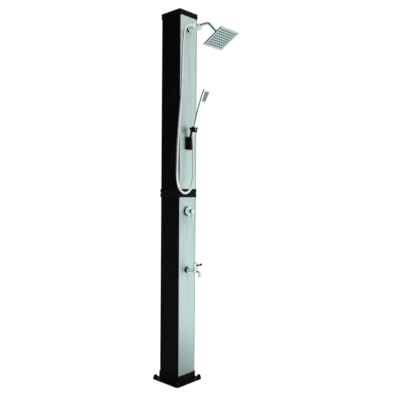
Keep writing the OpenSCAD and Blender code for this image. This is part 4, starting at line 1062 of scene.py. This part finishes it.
class POST_OT_mixer(bpy.types.Operator):
    """Builds the mixer: wall plate, domed nut and the hanging lever"""
    bl_idname = "post.mixer"
    bl_label = "Mixer"

    def execute(self, context):
        front = front_at(MIXER_Z)
        wall_plate("mixer", "mixer_rosette", MIXER_Z, 26.9, 7.5, 12.9, 20.05, 24)
        nut = Form("domed_nut", front)
        ball = 19.9 * 1.4
        dome = [(ball * math.sin(t), 22 - ball + ball * math.cos(t)) for t in
                [0.368 + (0.712 - 0.368) * k / 8 for k in range(9)]]
        nut.turn([(10, 12)] + [(19.9, 12), (19.9, 15), (19.5, 15.5)] + dome[::-1] + [(10, 21.8)], closed=True, count=96)
        nut.piece("cartridge_nut")

        lever = Form("lever", front)
        lever.turn(eased([(12, 38), (13, 38), (13, 43), (9.5, 46), (0, 46)], 0.7, 4), count=72)
        # The black ring under the lever's hub is painted shade: a dark ring put where the gap behind the hub lies in
        # shadow.
        Form("lever_painted_shade_ring", front).hoop(
            [(9.4, 28.1), (13, 28.1), (13, 30), (12.5, 30.4), (12.5, 31.2), (13, 31.6), (13, 37.9), (9.4, 37.9)],
            0.5, count=72).piece("mixer_lever", slot="black_trim")
        stations = [Vector(s) for s in ((3, 36.4, 9), (-3, 36.3, 14.6), (-18, 37.6, 12.8), (-32.3, 40, 9.9),
                                        (-47, 41.8, 7.9), (-61.6, 44.7, 6.4), (-70, 48.6, 5.5), (-77, 53.9, 4.8))]
        widths = (13, 15.6, 15.9, 15.9, 15.6, 15.2, 14.4, 12.8)
        line = smooth_path([Vector((w, s.x, s.y)) for w, s in zip(widths, stations)], 5)
        thick = smooth_path([Vector((s.z, 0, 0)) for s in stations], 5)
        rings = []
        last = len(line) - 1
        for i, (station, t) in enumerate(zip(line, thick)):
            way = (line[min(i + 1, last)] - line[max(i - 1, 0)])
            way = Vector((way.y, way.z)).normalized()
            ends = max(0, (i - last + 3) / 3)
            wide, deep = station.x / 2 * (1 - 0.12 * ends ** 2), t.x / 2 * (1 - 0.3 * ends ** 2)
            rings.append([(x, station.y - way.y * n, station.z + way.x * n)
                          for x, n in squared(wide, deep, 0.6, 32)])
        lever.skin(rings)
        lever.piece("mixer_lever", sharp=45)
        return {"FINISHED"}


class POST_OT_tap(bpy.types.Operator):
    """Builds the foot tap: wall plate, body with its spout, bonnet, turning cap and lever"""
    bl_idname = "post.tap"
    bl_label = "Foot tap"

    def execute(self, context):
        front = front_at(TAP_Z)
        wall_plate("tap", "tap_rosette", TAP_Z, 17.4, 13, 15, 10.6, 14.4)

        body = Form("tap_valve", front)
        body.turn(eased([(10.4, -18), (10.4, 6.2), (9.4, 7.2), (9.5, 22), (9.5, 35), (9, 35.6), (9, 36.6), (9.5, 37.2),
                         (9.5, 66)], 0.4), count=56)
        body.nut(25, 24, 33, 9.4, lip=0.7)
        body.turn(eased([(0, -12), (9.6, -12), (11.5, -9.4), (11.5, 8.4), (10.6, 10), (6.6, 10)], 0.9, 4),
                  moved(0, 0, TAP_OUT) @ turned_about("X", -90), count=56)
        path = [Vector((0, -2, TAP_OUT + out)) for out in (0, 9, 16)]
        bend = math.radians(85)
        for k in range(21):
            t = bend * k / 20
            path.append(Vector((0, -20 + 18 * math.cos(t), TAP_OUT + 18 + 18 * math.sin(t))))
        path.append(path[-1] + Vector((0, -math.sin(bend), math.cos(bend))) * 8)
        body.sweep(path, 7.0, 40)
        body.piece("tap_body", sharp=30)

        at_end = front @ Matrix.Translation(path[-2]) @ Matrix.Rotation(bend, 4, "X")
        Form("spout_ring", at_end).turn(eased(
            [(7.1, 1.5), (9.8, 1.5), (10.5, 2.4), (10.5, 5), (9.9, 5.5), (9.9, 6.3), (10.5, 6.8), (10.5, 13.4),
             (9.6, 14.5), (7, 14.5), (6.6, 13.6), (6.6, 8)], 0.4), closed=True).piece("tap_outlet_ring")

        cap_place = moved(0, FRONT - TAP_OUT, TAP_Z)
        Form("bonnet_nut", cap_place).nut(22, 10, 14.9, 4.2, lip=0.6).piece("tap_bonnet", sharp=25)
        cap = Form("turning_cap", cap_place)
        dome = [(12.75 * math.cos(t), 45.35 + 7.65 * math.sin(t)) for t in [math.pi / 2 * k / 10 for k in range(10)]]
        cap.turn(eased([(3.9, 6), (3.9, 15.3), (11.6, 15.3), (12.75, 16.4), (12.75, 19), (12.2, 19.5), (12.2, 20.3),
                        (12.75, 20.8), (12.75, 44)], 0.4) + dome + [(0, 53)], count=72)
        cap.piece("tap_cap")
        lever = Form("tap_handle", cap_place @ moved(0, 0, 30) @ turned_about("X", 75))
        knob = [(7.9 * math.sin(t), 44.6 - 7.9 * math.cos(t)) for t in
                [0.65 + (math.pi - 0.65) * k / 16 for k in range(16)]]
        lever.turn([(3.9, 8), (6.6, 11), (6.4, 13), (5.7, 15.5), (5.2, 20), (4.9, 28), (4.8, 37.6)] + knob
                   + [(0, 52.5)], count=48)
        lever.piece("tap_lever")
        return {"FINISHED"}


# Rear fittings and the parts inside

class POST_OT_rear(bpy.types.Operator):
    """Builds the threaded supply inlet and the drain plug on the back"""
    bl_idname = "post.rear"
    bl_label = "Rear fittings"

    def execute(self, context):
        inlet = Form("supply_inlet", rear_at(middle("inlet_connector", 2)))
        thread = []
        turns, pitch = 8, 1.814
        for k in range(turns):
            foot = 4.4 + pitch * k
            thread += [(9.4, foot), (10.47, foot + pitch * 0.4), (10.47, foot + pitch * 0.6)]
        inlet.turn([(6.5, -18), (10.4, -18), (10.4, 0)] + eased([(10.4, 0), (16, 0), (16, 4), (9.4, 4)], 0.6)[1:]
                   + thread + [(9.4, 19), (6.5, 19)], closed=True, count=72)
        inlet.piece("inlet_connector")
        plug = Form("drain_screw", rear_at(middle("drain_plug", 2)))
        heights = [1.2, 2, 4, 6, 6.8]
        plug.turn([(0, -11), (9.9, -11), (9.9, 0), (12.4, 0.1), (13, 0.7)] + [(13, h) for h in heights]
                  + [(12.6, 7.6), (11.4, 8), (8, 8), (7.4, 7), (0, 7)], count=120,
                  wave=lambda angle, h: -1.2 * max(math.cos(10 * angle), 0) ** 1.5 if 1 < h < 7 else 0)
        plug.piece("drain_plug", slot="casing", finish="black_trim")
        return {"FINISHED"}


class POST_OT_packed(bpy.types.Operator):
    """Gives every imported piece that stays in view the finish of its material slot"""
    bl_idname = "post.packed"
    bl_label = "Packed pieces"

    def execute(self, context):
        for name, slot in SLOTS.items():
            node = frame["nodes"][name]
            if not node.hide_render:
                if not node.material_slots:
                    raise RuntimeError(f"{node.name} has no material slot")
                for place in node.material_slots:
                    place.material = finish_of(slot)
        return {"FINISHED"}


# Studio

CAMERA_LENS, CAMERA_PLACE = 44.729, (-2.11287, -2.13661, 1.12549)
CAMERA_YAW, CAMERA_PITCH, CAMERA_ROLL = 47.1758, -0.7411, 0.4188
AIM = (0, 0, 1.1)
# Each lamp's place, its size and its share of the key's power
LAMPS = {"key": ((1.6, -3.2, 3.6), 2.2, 1.0), "side": ((3.4, 0.6, 2.2), 2.0, 0.35)}
# How much of the floor glows in the camera's view, and how strongly
GLOW_SHARE, GLOW = 0.65, 1.2
# The middle of the dark floor beside the base, and where its dark begins and ends to fade
SHADE_MIDDLE, SHADE_FROM, SHADE_TO = (-0.35, -0.2, 0.0), 0.2, 1.3


def camera_turn():
    """The camera's turn, from the way it looks along the photograph's middle."""
    yaw, pitch, roll = (math.radians(angle) for angle in (CAMERA_YAW, CAMERA_PITCH, CAMERA_ROLL))
    ahead = Vector((math.sin(yaw) * math.cos(pitch), math.cos(yaw) * math.cos(pitch), math.sin(pitch)))
    level = Vector((math.cos(yaw), -math.sin(yaw), 0))
    up = level.cross(ahead)
    right = math.cos(roll) * level + math.sin(roll) * up
    over = -math.sin(roll) * level + math.cos(roll) * up
    return Matrix((right, over, -ahead)).transposed()


# What polished metal mirrors: dark flags round the stage and dark scrims on the floor. Each has the way to it,
# where its edge begins and ends, and how bright it is.
FLAGS = (((-0.72, 0.62, 0.0), 0.42, 0.8, 0.0), ((0.99, 0.1, 0.0), 0.87, 0.94, 0.0))
SCRIMS = (((-0.4, 0.92, 0.0), 0.3, 0.75, 0.12), ((0.99, 0.1, 0.0), 0.89, 0.96, 0.4))


def past_flags(tree, way, flags):
    """How much of the bright ground is left past the flags, the way a mirrored ray goes."""
    level = None
    for towards, edge, heart, dark in flags:
        facing = tree.node("ShaderNodeVectorMath", {"operation": "DOT_PRODUCT"},
                           {0: way, 1: Vector(towards).normalized()}, "Value")
        left = tree.node("ShaderNodeMapRange", {"interpolation_type": "SMOOTHSTEP"}, {
            "Value": facing, "From Min": edge, "From Max": heart, "To Min": 1.0, "To Max": dark})
        level = level * left if level else left
    return level


def ground(tree, strength):
    return tree.node("ShaderNodeBackground", {}, {"Color": (1, 1, 1, 1), "Strength": strength})


def lamp(name, place, size, power):
    data = bpy.data.lights.new(name, "AREA")
    data.shape = "SQUARE"
    data.size = size
    data.energy = power
    made = bpy.data.objects.new(name, data)
    made.location = place
    made.rotation_mode = "QUATERNION"
    made.rotation_quaternion = (Vector(AIM) - Vector(place)).to_track_quat("-Z", "Y")
    made.visible_glossy = False
    bpy.context.scene.collection.objects.link(made)


class POST_OT_studio(bpy.types.Operator):
    """Sets the pale floor, the soft studio light, the white ground and the camera"""
    bl_idname = "post.studio"
    bl_label = "Studio"

    def execute(self, context):
        scene = context.scene
        studio = scene.post_studio
        data = bpy.data.cameras.new("camera")
        data.sensor_width = 36
        data.lens = CAMERA_LENS
        data.clip_end = 100
        camera = bpy.data.objects.new("camera", data)
        camera.rotation_mode = "QUATERNION"
        camera.rotation_quaternion = camera_turn().to_quaternion()
        camera.location = CAMERA_PLACE
        scene.collection.objects.link(camera)
        scene.camera = camera

        mesh = bpy.data.meshes.new("floor")
        mesh.from_pydata([(-30, -30, 0), (30, -30, 0), (30, 30, 0), (-30, 30, 0)], [], [(0, 1, 2, 3)])
        floor = bpy.data.objects.new("floor", mesh)
        scene.collection.objects.link(floor)
        paint = bpy.data.materials.new("floor_white")
        tree = Tree(paint)
        matt = tree.node("ShaderNodeBsdfDiffuse", {}, {"Color": (*studio.floor, 1)})
        bright = tree.node("ShaderNodeEmission", {}, {"Strength": GLOW})
        plain = tree.blend(GLOW_SHARE * tree.seen(), matt, bright)
        spot = tree.node("ShaderNodeTexCoord", out="Object")
        far = tree.node("ShaderNodeVectorMath", {"operation": "DISTANCE"}, {0: spot, 1: SHADE_MIDDLE}, "Value")
        near = tree.node("ShaderNodeMapRange", {"interpolation_type": "SMOOTHSTEP"}, {
            "Value": far, "From Min": SHADE_FROM, "From Max": SHADE_TO, "To Min": 0.0, "To Max": 1.0})
        way = tree.node("ShaderNodeVectorMath", {"operation": "NORMALIZE"}, {0: spot})
        level = near * past_flags(tree, way, SCRIMS)
        mirrored = tree.blend(level, tree.node("ShaderNodeEmission", {}, {"Strength": studio.floor_near}),
                              tree.node("ShaderNodeEmission", {}, {"Strength": studio.floor_far}))
        every = tree.blend(tree.node("ShaderNodeLightPath", out="Is Glossy Ray"), plain, mirrored)
        tree.node("ShaderNodeOutputMaterial", {}, {0: every}, None)
        mesh.materials.append(paint)

        world = bpy.data.worlds.new("studio")
        scene.world = world
        tree = Tree(world)
        plain = tree.blend(tree.seen(), ground(tree, studio.fill), ground(tree, 1.0))
        level = past_flags(tree, tree.node("ShaderNodeTexCoord", out="Generated"), FLAGS)
        mirrored = tree.blend(level, ground(tree, 0.0), ground(tree, 1.0))
        every = tree.blend(tree.node("ShaderNodeLightPath", out="Is Glossy Ray"), plain, mirrored)
        tree.node("ShaderNodeOutputWorld", {}, {0: every}, None)

        for name, (place, size, share) in LAMPS.items():
            lamp(name, place, size, studio.key * share)
        scene.view_settings.view_transform = "Standard"
        return {"FINISHED"}


# Settings, panel and registration

def colour_of(name, description, default):
    return bpy.props.FloatVectorProperty(name=name, description=description, default=default, size=3, min=0.0,
                                         max=1.0, subtype="COLOR")


class PostCasing(bpy.types.PropertyGroup):
    black: colour_of("Black", "Colour of the casing, base, bands and holder", (0.0014, 0.0019, 0.0024))
    front: colour_of("Front", "Colour of the aluminium fronts", (0.535, 0.665, 0.655))
    edge: bpy.props.FloatProperty(name="Edge radius", description="Rounding of the bands' and the cap's edges",
                                  default=0.0015, min=0.0003, max=0.004, unit="LENGTH")


class PostMetal(bpy.types.PropertyGroup):
    chrome: colour_of("Chrome", "Colour of the chromed fittings", (0.66, 0.75, 0.73))
    steel: colour_of("Spray plate", "Colour of the spray plate", (0.54, 0.69, 0.68))
    gloss: bpy.props.FloatProperty(name="Chrome roughness", description="Roughness of clean chrome", default=0.05,
                                   min=0.02, max=0.4)


class PostHose(bpy.types.PropertyGroup):
    colour: colour_of("Hose", "Colour of the hose's sheath", (0.7, 0.75, 0.69))
    diameter: bpy.props.FloatProperty(name="Diameter", description="Outside diameter of the hose", default=0.014,
                                      min=0.012, max=0.014, unit="LENGTH")
    pitch: bpy.props.FloatProperty(name="Winding pitch", description="Distance between turns of the hose's core",
                                   default=0.004, min=0.002, max=0.01, unit="LENGTH")


class PostStudio(bpy.types.PropertyGroup):
    floor: colour_of("Floor", "Colour of the floor", (0.93, 0.93, 0.93))
    floor_near: bpy.props.FloatProperty(name="Mirrored floor, near", description="How bright the floor beside the base "
                                        "looks in polished metal", default=0.45, min=0.0, max=1.0)
    floor_far: bpy.props.FloatProperty(name="Mirrored floor, far", description="How bright the floor further out "
                                       "looks in polished metal", default=1.25, min=0.0, max=2.0)
    fill: bpy.props.FloatProperty(name="Fill", description="Strength of the light from all round", default=0.82,
                                  min=0.0, max=2.0)
    key: bpy.props.FloatProperty(name="Key", description="Power of the large lamp in front", default=70.0, min=0.0,
                                 max=500.0, unit="POWER")


STEPS = (POST_OT_studio, POST_OT_hose, POST_OT_casing, POST_OT_fronts, POST_OT_diverter, POST_OT_arm, POST_OT_head,
         POST_OT_holder, POST_OT_handset, POST_OT_mixer, POST_OT_tap, POST_OT_rear, POST_OT_packed)


class POST_PT_steps(bpy.types.Panel):
    """Lists the settings and the steps that build the shower post"""
    bl_idname = "POST_PT_steps"
    bl_label = "Shower Post"
    bl_space_type = "VIEW_3D"
    bl_region_type = "UI"
    bl_category = "Shower Post"

    def draw(self, context):
        scene = context.scene
        for group in (scene.post_casing, scene.post_metal, scene.post_hose, scene.post_studio):
            box = self.layout.box()
            for name in group.__annotations__:
                box.prop(group, name)
        for step in STEPS:
            self.layout.operator(step.bl_idname)


GROUPS = {"post_casing": PostCasing, "post_metal": PostMetal, "post_hose": PostHose, "post_studio": PostStudio}


def register():
    for group in GROUPS.values():
        bpy.utils.register_class(group)
    for name, group in GROUPS.items():
        setattr(bpy.types.Scene, name, bpy.props.PointerProperty(type=group))
    for step in STEPS:
        bpy.utils.register_class(step)
    bpy.utils.register_class(POST_PT_steps)


def unregister():
    bpy.utils.unregister_class(POST_PT_steps)
    for step in reversed(STEPS):
        bpy.utils.unregister_class(step)
    for name in GROUPS:
        delattr(bpy.types.Scene, name)
    for group in reversed(GROUPS.values()):
        bpy.utils.unregister_class(group)


def main():
    register()
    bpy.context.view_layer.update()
    for step in STEPS:
        area, name = step.bl_idname.split(".")
        getattr(getattr(bpy.ops, area), name)()


if __name__ == "__main__":
    main()
